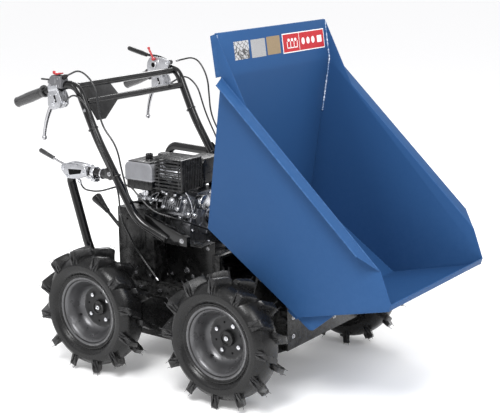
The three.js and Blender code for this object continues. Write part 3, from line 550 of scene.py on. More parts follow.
def build_wheels():
    tyre, whiskers = tyre_parts()
    tyre_mesh, whisker_mesh = merged(tyre), merged(whiskers)
    turns = {("rear", "right"): 143, ("front", "right"): 118, ("rear", "left"): 20, ("front", "left"): 70}
    lug_turns = {("rear", "right"): 8, ("front", "right"): -4, ("rear", "left"): 3, ("front", "left"): 11}
    for end, x in (("rear", 0), ("front", WHEELBASE)):
        for side, sign in (("right", -1), ("left", 1)):
            key = (end, side)
            body = f"wheel_{end}_{side}"
            place = Matrix.Translation((x, sign * WHEEL_Y, AXLE_Z)) @ Matrix.Rotation(math.pi if sign < 0 else 0, 4, "Z")
            spun = place @ Matrix.Rotation(math.radians(lug_turns[key]), 4, "Y")
            bolts, hole_shades, cap, hub, centre, valve = wheel_small_parts(math.radians(turns[key]))
            valve = moved(valve, Matrix.Rotation(math.radians(-turns[key] - 190), 4, "Y"))
            piece(f"tyre_{end}_{side}_rubber", "tyre", [tyre_mesh.copy()], body, f"tyre_{end}_{side}", local=spun)
            piece(f"whiskers_{end}_{side}", "whisker", [whisker_mesh.copy()], body, local=spun)
            shell, disc = bowl()
            piece(f"rim_{end}_{side}_bowl", "rim_grey", [shell], body, f"rim_{end}_{side}", local=place)
            piece(f"rim_{end}_{side}_disc", "rim_centre_shade", [disc], body, local=place)
            piece(f"lug_bolts_{end}_{side}", "polished", [*bolts, centre], body, local=place)
            piece(f"rim_hole_shades_{end}_{side}", "hole_shade", [*hole_shades], body, local=place)
            shaft = rod((0, -112, 0), (0, -44, 0), 12.4, 32)
            piece(f"hub_{end}_{side}", "rim_dark", [cap, hub, shaft], body, local=place)
            piece(f"tyre_valve_{end}_{side}", "black_plastic", [valve], body, local=place)


# ---- chassis ----
def build_chassis():
    crisp("chassis_frame", "box_paint", 1.4)
    crisp("engine_deck", "box_paint", 1.0)
    crisp("rear_cover", "box_paint", 1.8)
    for end, x in (("rear", 0), ("front", WHEELBASE)):
        parts = []
        for sign in (1, -1):
            bore = [(0, 0), (28, 0), (28, 99), (26.5, 100), (13.3, 100), (13.3, 36), (0, 36)]
            parts.append(lathe(bore, (x, sign * 200, AXLE_Z), (0, sign, 0), 48))
            parts.append(lathe([(28, 1), (42, 1), (42, 10), (40.5, 12), (28, 12)], (x, sign * 200, AXLE_Z),
                               (0, sign, 0), 48))
            parts.append(lathe([(28, 12), (33, 12), (30.5, 13.4), (28.4, 16), (28, 17)], (x, sign * 200, AXLE_Z),
                               (0, sign, 0), 48))
            parts.append(lathe([(28, 80), (31, 82), (31, 97), (28, 99)], (x, sign * 200, AXLE_Z), (0, sign, 0), 48))
            for k in range(4):
                a = math.pi / 4 + k * math.pi / 2
                parts.append(hex_bolt((x + 35 * math.cos(a), sign * 212, AXLE_Z + 35 * math.sin(a)), (0, sign, 0),
                                      4.2, 3.2, False))
        parts.append(rod((x, -200, AXLE_Z), (x, 200, AXLE_Z), 28, 32))
        piece(f"{end}_axle_housing", "box_paint", parts, "root", f"{end}_axle_tube")
    crisp("gearbox", "iron", 2.5)
    pin = [rod((550, -172, 360), (550, 172, 360), 10, 32)]
    for sign in (1, -1):
        pin.append(lathe([(0, 169.5), (15, 169.5), (15, 176.5), (13.5, 178), (0, 178)], (550, 0, 360), (0, sign, 0), 32))
    piece("hinge_pin", "steel", pin, "root", "pivot_pin")
    crisp("stop_buffer", "grip_rubber", 2.5)
    fasteners = []
    for x, z, size in ((215, 318, 7.5), (238, 300, 5), (150, 296, 4.5), (150, 405, 4.5), (305, 405, 4.5)):
        for sign in (1, -1):
            fasteners.append(hex_bolt((x, sign * 136, z), (0, sign, 0), size, size * 0.6))
    for x in (-92, 10, 70, 150, 290, 420, 600):
        for sign in (1, -1):
            fasteners.append(hex_bolt((x, sign * 200, 254), (0, sign, 0), 5.2, 3.6))
    for x, z in ((-10, 300), (112, 300), (-10, 490), (112, 490), (50, 300)):
        for sign in (1, -1):
            fasteners.append(hex_bolt((x, sign * 200, z), (0, sign, 0), 3.6, 2.4))
    for y in (-170, -60, 60, 170):
        for z in (300, 495):
            fasteners.append(hex_bolt((-24, y, z), (-1, 0, 0), 3.6, 2.4))
        fasteners.append(hex_bolt((661, y, 250), (1, 0, 0), 5, 3.4))
        fasteners.append(hex_bolt((661, y, 190), (1, 0, 0), 5, 3.4))
    for y in (-175, -150, 150, 175):
        fasteners.append(hex_bolt((220, y, 430), (0, 0, 1), 4.6, 3.4))
    piece("chassis_fasteners", "steel", fasteners)
    panels = []
    for sign in (1, -1):
        low, high = sorted((sign * 200, sign * 202.5))
        panels.append(plate([(8, 312), (96, 312), (96, 482), (84, 494), (20, 494), (8, 482)], low, high, edge=1.1))
        for x, z in ((18, 324), (86, 324), (18, 480), (86, 480)):
            panels.append(hex_bolt((x, sign * 202.5, z), (0, sign, 0), 3.4, 2.4, False))
        low, high = sorted((sign * 200, sign * 206))
        panels.append(plate([(126, 236), (345, 236), (345, 242), (126, 242)], low, high, edge=1.0))
    hatch = plate([(-80, 322), (80, 322), (80, 470), (-80, 470)], -26.4, -24, "yz", 1.1)
    for k in range(6):
        panels.append(box((-28, -50, 345 + k * 18), (-25.5, 50, 351 + k * 18), 1.1))
    panels.append(hatch)
    piece("cover_panels", "box_paint", panels)


# ---- tub ----
TUB_AT = Matrix.Translation(PIVOT) @ Matrix.Rotation(DUMP_ANGLE, 4, "Y")
FLOOR_Z = 62
FLARE = 0.000075
TUB = dict(top=(-483, 586), rim=(-400, 491), heel=(-195, 62), toe=(203, 62), slope=(418, 299), lip=(412, 319),
           front=(333, 376), dot=(-280, 474))


def flared(bm):
    for vert in bm.verts:
        vert.co.y *= 1 + FLARE * (vert.co.z - FLOOR_Z)
    return bm


def sheet_strip(points, thickness, y0, y1, edge=0.8, divisions=1):
    """Bent sheet: the profile points offset to one side by its thickness, between y0 and y1."""
    inner = []
    for i, (x, z) in enumerate(points):
        a, b = points[max(i - 1, 0)], points[min(i + 1, len(points) - 1)]
        d = Vector((b[0] - a[0], b[1] - a[1])).normalized()
        inner.append((x - d.y * thickness, z + d.x * thickness))
    outline = points + inner[::-1]
    bm = bmesh.new()
    rings = []
    for k in range(divisions + 1):
        y = y0 + (y1 - y0) * k / divisions
        rings.append([bm.verts.new((x, y, z)) for x, z in outline])
    n, count = len(points), len(outline)
    for low, high in zip(rings, rings[1:]):
        for k in range(count):
            bm.faces.new((low[k], low[(k + 1) % count], high[(k + 1) % count], high[k]))
    for ring in (rings[0], rings[-1]):
        for k in range(n - 1):
            bm.faces.new((ring[k], ring[k + 1], ring[count - 2 - k], ring[count - 1 - k]))
    bmesh.ops.recalc_face_normals(bm, faces=bm.faces)
    if edge:
        border = [e for e in bm.edges if e.calc_face_angle(0) > 1.2]
        bmesh.ops.bevel(bm, geom=border, offset=edge, segments=2, affect="EDGES", profile=0.5, clamp_overlap=True)
    return bm


def tub_side(sign):
    t = TUB
    outline = [t["heel"], t["toe"], t["slope"], t["lip"], t["front"], t["dot"], t["top"], t["rim"]]
    low, high = sorted((sign * 277, sign * 280))
    wall = plate(outline, low, high, edge=0.9)
    rim, front = Vector((t["rim"][0], 0, t["rim"][1])), Vector((t["front"][0], 0, t["front"][1]))
    length = (front - rim).length
    along = (front - rim).normalized()
    normal = along.cross(Vector((0, 1, 0)))
    frame_turn = Matrix((along, Vector((0, 1, 0)), normal)).transposed().to_4x4()
    strip = [(2, -1), (length - 1, -1), (length - 68, 41.5), (24, 41.5)]
    flange = plate([(u, v * sign) for u, v in strip], -3, 0, "xy", edge=0.9)
    hem = sweep([Vector((24, 41.5 * sign, -2.2)), Vector((length - 68, 41.5 * sign, -2.2))], 2.4, 12)
    bead = sweep([Vector((6, 0.5 * sign, -1.2)), Vector((length - 4, 0.5 * sign, -1.2))], 2.5, 12)
    place = Matrix.Translation(rim) @ Matrix.Translation((0, sign * 280, 0)) @ frame_turn
    top = [moved(part, place) for part in (flange, hem, bead)]
    weld_points = [(t[k][0], sign * 278.6, t[k][1]) for k in ("heel", "toe", "slope")]
    return [flared(merged([wall, *top]))], weld_points


def weld(points, radius=1.9):
    """Line of small overlapping beads."""
    path = [Vector(p) for p in points]
    stations, radii = [], []
    for a, b in zip(path, path[1:]):
        count = max(2, int((b - a).length / 3.2))
        for i in range(count):
            stations.append(a.lerp(b, i / count))
            radii.append(radius * (1 + 0.22 * math.sin(len(stations) * 1.9) + random.uniform(-0.12, 0.12)))
    stations.append(path[-1])
    radii.append(radius * 0.6)
    return sweep(stations, radii, 8)


def build_tub():
    t = TUB
    half = 276.6
    profile = [t["top"], t["rim"], t["heel"], t["toe"], t["slope"], t["lip"]]
    bent = []
    for i, point in enumerate(profile):
        if 0 < i < len(profile) - 1:
            radius = 3 if point == t["slope"] else 9
            a, b = Vector((*profile[i - 1], 0)), Vector((*profile[i + 1], 0))
            c = Vector((*point, 0))
            start, end = c + (a - c).normalized() * radius, c + (b - c).normalized() * radius
            for k in range(6):
                s = k / 5
                q = start * (1 - s) ** 2 + c * 2 * s * (1 - s) + end * s ** 2
                bent.append((q.x, q.y))
        else:
            bent.append(point)
    pan = flared(sheet_strip(bent, 3, -half, half, divisions=4))
    back = [(-498, 566), (-416, 474)]
    returns = []
    for sign in (1, -1):
        low, high = sorted((sign * (half - 3), sign * half))
        returns.append(flared(plate([t["top"], t["rim"], back[1], back[0]], low, high, edge=0.8)))
    top_roll = flared(sweep([Vector((-484.5, -half, 582.6)), Vector((-484.5, half, 582.6))], 3.2, 14))
    ears = []
    for sign in (1, -1):
        low, high = sorted((sign * 21, sign * 27))
        ears.append(plate([(-217, 112), (-205, 86), (-228, 76), (-238, 90)], low, high, edge=0.8))
    piece("tub_pan_sheet", "tub_blue", [pan, *returns, top_roll, *ears], "tub", "tub_pan", local=TUB_AT)
    piece("striker_bar", "steel", [rod((-228, -27, 86), (-228, 27, 86), 6, 24)], "tub", local=TUB_AT)
    for side, sign in (("right", -1), ("left", 1)):
        parts, seam = tub_side(sign)
        piece(f"tub_side_{side}_sheet", "tub_blue", parts, "tub", f"tub_side_{side}", local=TUB_AT)
        inside = [(x, y - sign * 2.4, z + 1.4) for x, y, z in seam]
        up_back = [(t["top"][0] + 4, sign * 275.6, t["top"][1] - 3), (t["rim"][0] + 5, sign * 275.6, t["rim"][1] + 2),
                   (t["rim"][0] + 82, sign * 275.6, t["rim"][1] - 158)]
        piece(f"tub_seam_{side}", "tub_blue", [flared(weld(inside))], "tub", local=TUB_AT)
        # The bead up the back seam carries painted glints in its near-white edge flecks.
        piece(f"tub_weld_{side}", "weld_blue_glint", [flared(weld(up_back, 2.3))], "tub", local=TUB_AT)
    crisp("tub_subframe", "tub_blue", 1.2, body="tub")
    bolts = []
    for x in (-120, -20, 80, 180):
        for sign in (1, -1):
            bolts.append(hex_bolt((x, sign * 129, 65), (0, 0, 1), 5.2, 3))
    piece("tub_floor_bolts", "steel", bolts, "tub", local=TUB_AT)
    build_stickers()


def swatch_finish(name, low, high, scale, kind):
    """Printed sticker of loose material: paving, gravel or sand."""
    material = bpy.data.materials.new(name)
    material.use_nodes = True
    tree = material.node_tree
    shader = tree.nodes["Principled BSDF"]
    if kind == "cells":
        coords = tree.nodes.new("ShaderNodeTexCoord")
        mapping = tree.nodes.new("ShaderNodeMapping")
        mapping.inputs["Rotation"].default_value = (0.7, 0, 0)
        link(tree, coords.outputs["Object"], mapping.inputs["Vector"])
        cells = tree.nodes.new("ShaderNodeTexVoronoi")
        cells.feature = "DISTANCE_TO_EDGE"
        cells.inputs["Scale"].default_value = scale
        cells.inputs["Randomness"].default_value = 0.35
        link(tree, mapping.outputs["Vector"], cells.inputs["Vector"])
        source = cells.outputs["Distance"]
        stops = [(0.04, low), (0.1, high)]
    else:
        source = noise_node(tree, scale, 5, 0.8)
        stops = [(0.35, low), (0.65, high)]
    link(tree, ramp_node(tree, source, stops), shader.inputs["Base Color"])
    gloss = ramp_node(tree, noise_node(tree, 60), [(0.3, (0.3,) * 3), (0.7, (0.42,) * 3)])
    link(tree, gloss, shader.inputs["Roughness"])
    return material


FINISH["sticker_paving"] = swatch_finish("sticker_paving", (0.05, 0.05, 0.05), (0.42, 0.42, 0.43), 75, "cells")
FINISH["sticker_gravel"] = swatch_finish("sticker_gravel", (0.16, 0.16, 0.17), (0.42, 0.42, 0.42), 900, "grains")
FINISH["sticker_sand"] = swatch_finish("sticker_sand", (0.19, 0.14, 0.08), (0.27, 0.2, 0.12), 700, "grains")
FINISH["sticker_red"] = finish("sticker_red", (0.40, 0.014, 0.02), 0.35, spread=0.05, grain=(500, 0.01))
FINISH["sticker_white"] = finish("sticker_white", (0.75, 0.74, 0.74), 0.4, spread=0.05, grain=(500, 0.01))
# Weld bead finish: its near-white edge flecks are painted glints, standing in for the speckled reflections along the
# seam.
FINISH["weld_blue_glint"] = finish("weld_blue_glint", (0.05, 0.12, 0.26), 0.12, spread=0.1, grain=(300, 0.1), coat=1.0,
                             edge_wear_and_glint=(0.75, 0.78, 0.85), edge_wear_and_glint_at=(0.5, 0.56))


def build_stickers():
    """Square texture swatches and a load label, without lettering, on the splash plate."""
    top, rim = Vector((TUB["top"][0], 0, TUB["top"][1])), Vector((TUB["rim"][0], 0, TUB["rim"][1]))
    up = (top - rim).normalized()
    normal = Vector((0, 1, 0)).cross(up)
    if normal.x > 0:
        normal = -normal
    outward = -normal
    base = Matrix((Vector((0, 1, 0)), up, outward)).transposed().to_4x4()
    place = TUB_AT @ Matrix.Translation(rim) @ base
    face = 3.0 if outward.x > 0 else 0.0

    def sticker(name, look, shapes, lift, thick=0.25):
        parts = [plate(shape, face + lift, face + lift + thick, "xy", 0.08, 1) for shape in shapes]
        piece(name, look, parts, "tub", local=place)

    def square(y0, y1, s0, s1):
        return [(y0, s0), (y1, s0), (y1, s1), (y0, s1)]

    sticker("sticker_paving", "sticker_paving", [square(-215, -142, 40, 95)], 0.05)
    sticker("sticker_gravel", "sticker_gravel", [square(-131, -58, 39, 94)], 0.05)
    sticker("sticker_sand", "sticker_sand", [square(-50, 20, 40, 96)], 0.05)
    sticker("load_label_edge", "sticker_white", [square(33, 268, 36, 98)], 0.05)
    sticker("load_label", "sticker_red", [square(36, 265, 39, 95)], 0.35)
    marks = [square(123, 125, 40, 94), square(56, 114, 50, 53), square(56, 59, 50, 72), square(111, 114, 50, 72),
             square(74, 77, 50, 72), square(93, 96, 50, 72)]
    for k in range(3):
        centre = 66.5 + k * 18.5
        marks.append([(centre + 6 * math.cos(a), 76 + 5 * math.sin(a)) for a in
                      (2 * math.pi * i / 12 for i in range(12))])
    for k in range(3):
        marks.append([(146 + k * 28 + 9 * math.cos(a), 67 + 11 * math.sin(a)) for a in
                      (2 * math.pi * i / 20 for i in range(20))])
    marks.append(square(226, 252, 56, 78))
    sticker("load_label_marks", "sticker_white", marks, 0.65, 0.2)


# ---- handle ----
def leg_path(sign, end=3):
    path = [(214, -232, 445), (108, -250, 493), (-57, -250, 750), (-137, -252, 926), (-268, -262, 891),
            (-396 + end, -273, 843.5 + end * 0.37)]
    return [(x, y * -sign, z) for x, y, z in path]


def brace_path(sign):
    path = [(8, -250, 632), (-160, -250, 636), (-186, -250, 603), (-112, -250, 370), (-92, -226, 300), (-92, -203, 266)]
    return [(x, y * -sign, z) for x, y, z in path]


def build_handle():
    for side, sign in (("right", -1), ("left", 1)):
        bracket = [(118, 516), (275, 470), (298, 462), (298, 430.3), (210, 430.3), (135, 468)]
        low, high = sorted((sign * 213, sign * 233))
        tube = sweep(rounded(leg_path(sign), 48, 12), 14, 32)
        plates = plate(bracket, low, high, edge=2.2, steps=3)
        piece(f"handle_tube_{side}", "black_paint", [tube, plates], "root", f"handle_leg_{side}")
        bolts = []
        for x, z in ((150, 476), (210, 452), (278, 448)):
            bolts.append(hex_bolt((x, sign * 233, z), (0, sign, 0), 5.6, 4))
        bolts.append(hex_bolt((-95, sign * 263.4, 838), (0, sign, 0), 4.2, 3))
        bolts.append(hex_bolt((8, sign * 268, 640), (0, sign, 0), 5, 3.4))
        piece(f"handle_bolts_{side}", "steel", bolts)
        brace = rounded(brace_path(sign), 34, 12)
        foot = lathe([(0, 0), (22, 0), (22, 3), (20, 4.5), (15, 5), (0, 5)], (-92, sign * 200.2, 262), (0, sign, 0.2), 32)
        lug_plate = plate([(-12, 628), (10, 618), (26, 628), (26, 650), (10, 664), (-12, 656)],
                          *sorted((sign * 265.2, sign * 268)), edge=0.8)
        piece(f"brace_tube_{side}", "black_paint", [sweep(brace, 15, 28), foot, lug_plate], "root", f"brace_{side}")
        grip_points = leg_path(sign)[4], leg_path(sign, -4)[5]
        build_grip(side, *grip_points)
        build_perch(side, sign)
    bar = [rod((-146, -237, 912), (-146, 237, 912), 11, 28), rod((-107, -237, 862), (-107, 237, 862), 11, 28)]
    outline = [(-240, 70), (-96, 70), (-80, -2), (-100, -12), (-200, -72), (-240, -72)]
    up = Vector((-39, 0, 50)).normalized()
    turn = Matrix((Vector((0, 1, 0)), up, Vector((0, 1, 0)).cross(up))).transposed().to_4x4()
    console = moved(plate(outline, 0, 4, "xy", 1.2), Matrix.Translation((-107, 0, 862)) @ turn)
    fold = moved(sweep([(-238, 70, 2), (-96, 70, 2)], 3.4, 12), Matrix.Translation((-107, 0, 862)) @ turn)
    piece("handle_bars", "black_paint", [*bar, console, fold], "root", "handle_crossbars")
    build_drive_lever()
    build_switches()
    build_release()
    build_gear_lever()


def along_path(start, end, profile, segments=32):
    """Solid of revolution between two points; profile is (share of the length, radius)."""
    start, end = Vector(start), Vector(end)
    length = (end - start).length
    return lathe([(0, profile[0][0] * length)] + [(r, t * length) for t, r in profile]
                 + [(0, profile[-1][0] * length)], start, end - start, segments)


def build_grip(side, start, end):
    start, end = Vector(start), Vector(end)
    start = start.lerp(end, 0.03)
    profile = [(0, 15.5), (0.0, 20.5), (0.012, 21), (0.05, 21), (0.065, 20.2), (0.07, 17.6), (0.12, 16.4),
               (0.2, 16.6), (0.35, 17.4), (0.5, 17.9), (0.62, 17.7), (0.75, 16.9), (0.86, 16.8), (0.94, 17.4),
               (0.975, 17.2), (0.992, 15.6), (1.0, 12.5)]
    body = along_path(start, end, profile, 40)
    rings = []
    for t in (0.965, 0.12, 0.14, 0.16):
        place = start.lerp(end, t)
        radius = 17.7 if t > 0.9 else 16.9
        rings.append(lathe([(radius - 1, -1.2), (radius, -0.7), (radius, 0.7), (radius - 1, 1.2)], place, end - start,
                           40, closed=True))
    axis = (end - start).normalized()
    ribs = []
    for k in range(14):
        angle = 2 * math.pi * k / 14
        u = axis.orthogonal().normalized()
        w = axis.cross(u)
        out = u * math.cos(angle) + w * math.sin(angle)
        path = [start.lerp(end, t) + out * (r - 0.35) for t, r in profile if 0.2 <= t <= 0.86]
        ribs.append(sweep(path, 0.9, 6))
    piece(f"grip_{side}_rubber", "grip_rubber", [body, *rings, *ribs], "root", f"grip_{side}")


def build_perch(side, sign):
    """Cast clutch perch: split clamp, two riveted cheeks, and the blade lever between them."""
    y = 259
    cheek = [(-246, 884), (-238, 893), (-202, 900), (-194, 890), (-186, 872), (-188, 850), (-196, 840), (-222, 832),
             (-238, 834), (-247, 846)]
    parts = [plate(cheek, y - 20, y - 8, edge=1.8, steps=3), plate(cheek, y + 8, y + 20, edge=1.8, steps=3)]
    web = [(-246, 868), (-202, 868), (-198, 842), (-187, 850), (-187, 872), (-196, 892), (-240, 886)]
    parts.append(plate(web, y - 9, y + 9, edge=0.8))
    clamp_profile = [(14.6, 0), (20.3, 0), (21, 0.8), (21, 43.2), (20.3, 44), (14.6, 44)]
    parts.append(lathe(clamp_profile, (-243, y, 898), (43, 0, 10), 40, closed=True))
    steel, recess_shade = [], []
    for sy in (-20, 20):
        out = 1 if sy > 0 else -1
        steel.append(hex_bolt((-222, y + sy, 852), (0, out, 0), 5.4, 3.4))
        for x, z in ((-232, 880), (-205, 886), (-200, 852), (-212, 866)):
            steel.append(lathe([(0, 0), (3, 0), (2.7, 1.2), (1.6, 2), (0, 2.2)], (x, y + sy, z), (0, out, 0), 18))
        # Thin dark sheets on the cheeks: painted shade standing in for a recess.
        dark = plate([(-219, 880), (-211, 882), (-204, 860), (-211, 857)], *sorted((y + sy - out * 0.4, y + sy + out * 0.25)),
                     edge=0.1, steps=1)
        recess_shade.append(dark)
    adjuster = [rod((-190, y + 9, 857), (-178, y + 9, 857.6), 5.2, 20, 0.6), rod((-196, y + 9, 857), (-164, y + 9, 858.6), 3.4, 20, 0.6),
                rod((-176, y + 9, 857.8), (-171, y + 9, 858), 5.6, 6, 0.6)]
    flip = (lambda bm: mirrored(bm)) if sign < 0 else (lambda bm: bm)
    piece(f"lever_perch_{side}_cast", "cast_silver", [flip(p) for p in parts], "root", f"lever_perch_{side}")
    piece(f"lever_perch_{side}_rivets", "polished", [flip(p) for p in steel + adjuster])
    piece(f"lever_perch_{side}_recess", "hole_shade", [flip(p) for p in recess_shade])
    blade_path = spline([(-216, y, 853), (-232, y, 851), (-250, y, 838), (-266, y, 812), (-277, y + 1, 784),
                         (-284, y + 2, 758), (-288, y + 3, 738)], 8)
    n = len(blade_path)
    radii = []
    for i in range(n):
        t = i / (n - 1)
        radii.append(11.8 - 4.8 * min(1, t * 1.25) ** 0.8 if t > 0.12 else 10)
    blade = sweep(blade_path, radii, 24, across=(0, 1, 0), squash=0.72)
    tip = lathe([(0, -8.8), (3.4, -8.1), (6.2, -6.2), (8.1, -3.4), (8.8, 0), (8.1, 3.4), (6.2, 6.2), (3.4, 8.1), (0, 8.8)],
                (-288, y + 3, 731), (0.07, 0, 1), 32)
    eye = rod((-228, y - 6, 852), (-228, y + 6, 852), 9, 32)
    piece(f"steering_blade_{side}", "steel", [flip(p) for p in (blade, tip, eye)], f"steering_{side}",
          f"steering_lever_{side}")


def build_drive_lever():
    fan = [(-256, 903), (-260, 920), (-257, 936), (-248, 951), (-236, 959), (-196, 956), (-158, 950), (-150, 940),
           (-157, 926), (-168, 900)]
    bracket = [plate(fan, 232, 238, edge=1.2, steps=3),
               lathe([(14.5, 0), (18, 0), (18.5, 0.6), (18.5, 11.4), (18, 12), (14.5, 12)], (-187, 256.8, 911), (12, -0.8, 3), 32, closed=True),
               box((-187, 237, 902), (-175, 243, 919), 1), rod((-163, 236, 940), (-163, 243.7, 940), 6, 24)]
    bracket.append(lathe([(9, 0), (13.5, 0), (14.3, 0.7), (13.5, 1.6), (9, 1.6)], (-228, 231.8, 928), (0, -1, 0), 32, closed=True))
    piece("drive_bracket_cast", "cast_silver", bracket, "root", "drive_lever_bracket")
    # Thin dark discs in the bracket's eye: painted shade standing in for the hole.
    piece("drive_bracket_hole_shade", "hole_shade", [lathe([(0, 0), (9.2, 0), (9.2, 0.5), (0, 0.5)], (-228, 231.9, 928), (0, -1, 0), 32),
                                         lathe([(0, 0), (9.2, 0), (9.2, 0.5), (0, 0.5)], (-228, 238.1, 928), (0, 1, 0), 32)])
    piece("drive_bracket_bolts", "polished", [hex_bolt((-163, 231.8, 940), (0, -1, 0), 5.4, 3.6),
                                              hex_bolt((-181, 258, 892.5), (0, 0, -1), 4.2, 3),
                                              hex_bolt((-205, 231.8, 942), (0, -1, 0), 4, 2.6)])
    arm_path = rounded([(-163, 250, 940), (-215, 250, 958), (-275, 252, 960), (-370, 262, 978)], 20, 8)
    arm = sweep(arm_path, 5, 20, squash=0.8)
    grip = along_path((-273, 251.8, 959.6), (-373, 262.3, 978.7),
                      [(0, 5), (0.02, 7.4), (0.1, 8), (0.3, 8.4), (0.6, 8.6), (0.85, 8.7), (0.96, 8.2), (1, 6)], 28)
    ribs = [lathe([(8.0, -1), (8.9, -0.5), (8.9, 0.5), (8.0, 1)],
                  Vector((-273, 251.8, 959.6)).lerp(Vector((-373, 262.3, 978.7)), 0.25 + 0.09 * k), (-100, 10.5, 19.1), 28,
                  closed=True) for k in range(7)]
    piece("drive_lever_arm", "black_plastic", [arm, grip, *ribs, rod((-163, 244, 940), (-163, 256, 940), 8.5, 28)],
          "drive_control", "drive_lever")
    blade = sweep(spline([(-222, 227, 950), (-231, 227, 966), (-242, 227, 985)], 6), [4.2, 4, 3.8, 3.8, 3.8, 3.9, 4.2, 4.4, 4.5, 4.6, 4.6, 4.4, 4.0],
                  20, across=(0, 1, 0), squash=0.7)
    cap = lathe([(0, -5.4), (3, -4.6), (5, -2.4), (5.4, 0), (5, 2.6), (3, 4.6), (0, 5.2)], (-243, 227, 988), (0, 0, 1), 24)
    piece("lock_catch_blade", "red_plastic", [blade, cap, rod((-222, 222, 950), (-222, 231.7, 950), 6, 24)], "lock", "lock_catch")


def build_switches():
    shell = [(-236, 905), (-236, 936), (-233, 941), (-226, 945.5), (-190, 945.5), (-185, 938), (-182, 928), (-182, 905)]
    body = [plate(shell, -278, -242, edge=2.6, steps=4), box((-254, -268, 916), (-235, -250, 925.5), 1.2),
            box((-212, -278.8, 908), (-206, -241.2, 944), 0.8)]
    piece("switch_case", "housing_grey", body, "root", "switch_housing")
    piece("switch_case_screws", "steel", [hex_bolt((x, -278.4, z), (0, -1, 0), 3, 1.6, False) for x, z in ((-228, 914), (-192, 914), (-195, 936))])
    rocker = [(-227, 950.4), (-211, 946.6), (-195, 950.4), (-195, 955), (-203, 953.6), (-211, 953.4), (-219, 955.4), (-227, 960)]
    frame_ring = [box((-230, -272.5, 944.5), (-192, -247.5, 946.2), 0.7)]
    piece("switch_bezel", "black_plastic", frame_ring)
    piece("stop_rocker", "red_plastic", [plate(rocker, -269.6, -250.4, edge=1.1, steps=3)], "switch", "stop_switch")
    lever = plate([(-245 + 7.5 * math.cos(a), -259 + 7.5 * math.sin(a)) for a in
                   [math.radians(d) for d in range(-100, 101, 20)]] + [(-270, -254.5), (-286, -253.6), (-291, -256), (-291.5, -262),
                   (-286, -264.4), (-270, -263.5)], 925.9, 930.8, "xy", 1.1, 3)
    pad = [box((-290.5, -263, 929.5), (-276, -255, 931), 0.5)]
    piece("thumb_lever", "black_plastic", [lever, *pad, hex_bolt((-245, -259, 930.6), (0, 0, 1), 3.2, 1.6, False)], "throttle", "throttle_lever")
    boot = lathe([(0, 0), (7.4, 0), (7.8, 1), (7.8, 8), (6, 10), (7, 12), (5.4, 14.5), (6, 17), (4.6, 20), (3.6, 24), (0, 24)],
                 (-184, -262, 941), (0.94, -0.15, 0.33), 28)
    boot_low = lathe([(0, 0), (5.4, 0), (5.4, 5), (4.2, 9), (4.6, 12), (3.4, 18), (0, 18)], (-182.5, -259, 912), (1, 0, -0.1), 24)
    piece("cable_boot", "black_plastic", [boot, boot_low])


def build_release():
    profile = [(-181, 606), (-206, 630), (-206, 646), (-197, 654), (-170, 654.6), (-99, 654.6), (-91, 643), (-90.6, 623),
               (-124, 609), (-160, 606)]
    half = [plate(profile, *sorted(span), edge=3.2, steps=4) for span in ((-273.5, -256.6), (-243.4, -226.5))]
    bridge = plate([(-182, 638), (-182, 654.4), (-104, 654.4), (-97, 644), (-120, 640)], -258, -242, edge=1)
    lip = [sweep(spline([(-196, -250 + s * 12, 652), (-170, -250 + s * 14, 656.5), (-140, -250 + s * 14, 656.5),
                         (-104, -250 + s * 12, 653)], 6), 1.6, 10) for s in (-1, 1)]
    piece("release_perch_cast", "cast_silver", [*half, bridge, *lip], "root", "release_perch")
    # A thin dark sheet on the outer half: painted shade standing in for a slot.
    slot_shades = [plate([(-168, 618), (-116, 628), (-110, 642), (-172, 638)], -273.9, -273.1, edge=0.2, steps=1)]
    piece("release_perch_slot_shade", "hole_shade", slot_shades)
    bolts = [hex_bolt((-196, -274, 640), (0, -1, 0), 5.4, 3.6), hex_bolt((-196, -226, 640), (0, 1, 0), 5.4, 3.6)]
    for x, z in ((-176, 614), (-103, 634)):
        bolts.append(hex_bolt((x, -273.6, z), (0, -1, 0), 4.6, 3.4))
    collar = [lathe([(15.2, 0), (19.5, 0), (20, 0.8), (20, 13.2), (19.5, 14), (15.2, 14)], (-78, -250, 634.1),
                    (1, 0, -0.024), 32, closed=True),
              box((-76, -262, 604), (-56, -244, 618), 2.4), hex_bolt((-66, -262, 611), (0, -1, 0), 5.4, 3.6),
              lathe([(15.2, 0), (18, 0), (18, 5), (15.2, 5)], (-38, -250, 633.1), (1, 0, -0.024), 32, closed=True),
              rod((-92, -270, 619), (-50, -272, 612), 4.6, 20, 0.8), rod((-74, -270.9, 616), (-64, -271.3, 614.4), 7, 6, 0.8)]
    adjuster = [rod((-142, -259.4, 609), (-120, -266.7, 590), 4, 20, 0.7), rod((-134, -262, 602), (-128, -264, 597), 6.4, 6, 0.7)]
    piece("release_perch_bolts", "polished", [*bolts, *collar, *adjuster])
    path = rounded([(-196, -250, 640), (-216, -250, 647), (-268, -250, 664)], 14, 8)
    arm = sweep(path, 5.8, 20, across=(0, 1, 0), squash=0.8)
    piece("release_arm", "steel", [arm, rod((-196, -256, 640), (-196, -244, 640), 8, 28)], "release")
    knob = along_path((-258, -250, 660.7), (-325, -250, 683.3),
                      [(0, 5.4), (0.03, 7.0), (0.2, 7.4), (0.45, 8.0), (0.7, 8.6), (0.88, 8.8), (0.96, 8), (1, 5.5)], 32)
    piece("release_knob", "grip_rubber", [knob], "release", "release_lever")


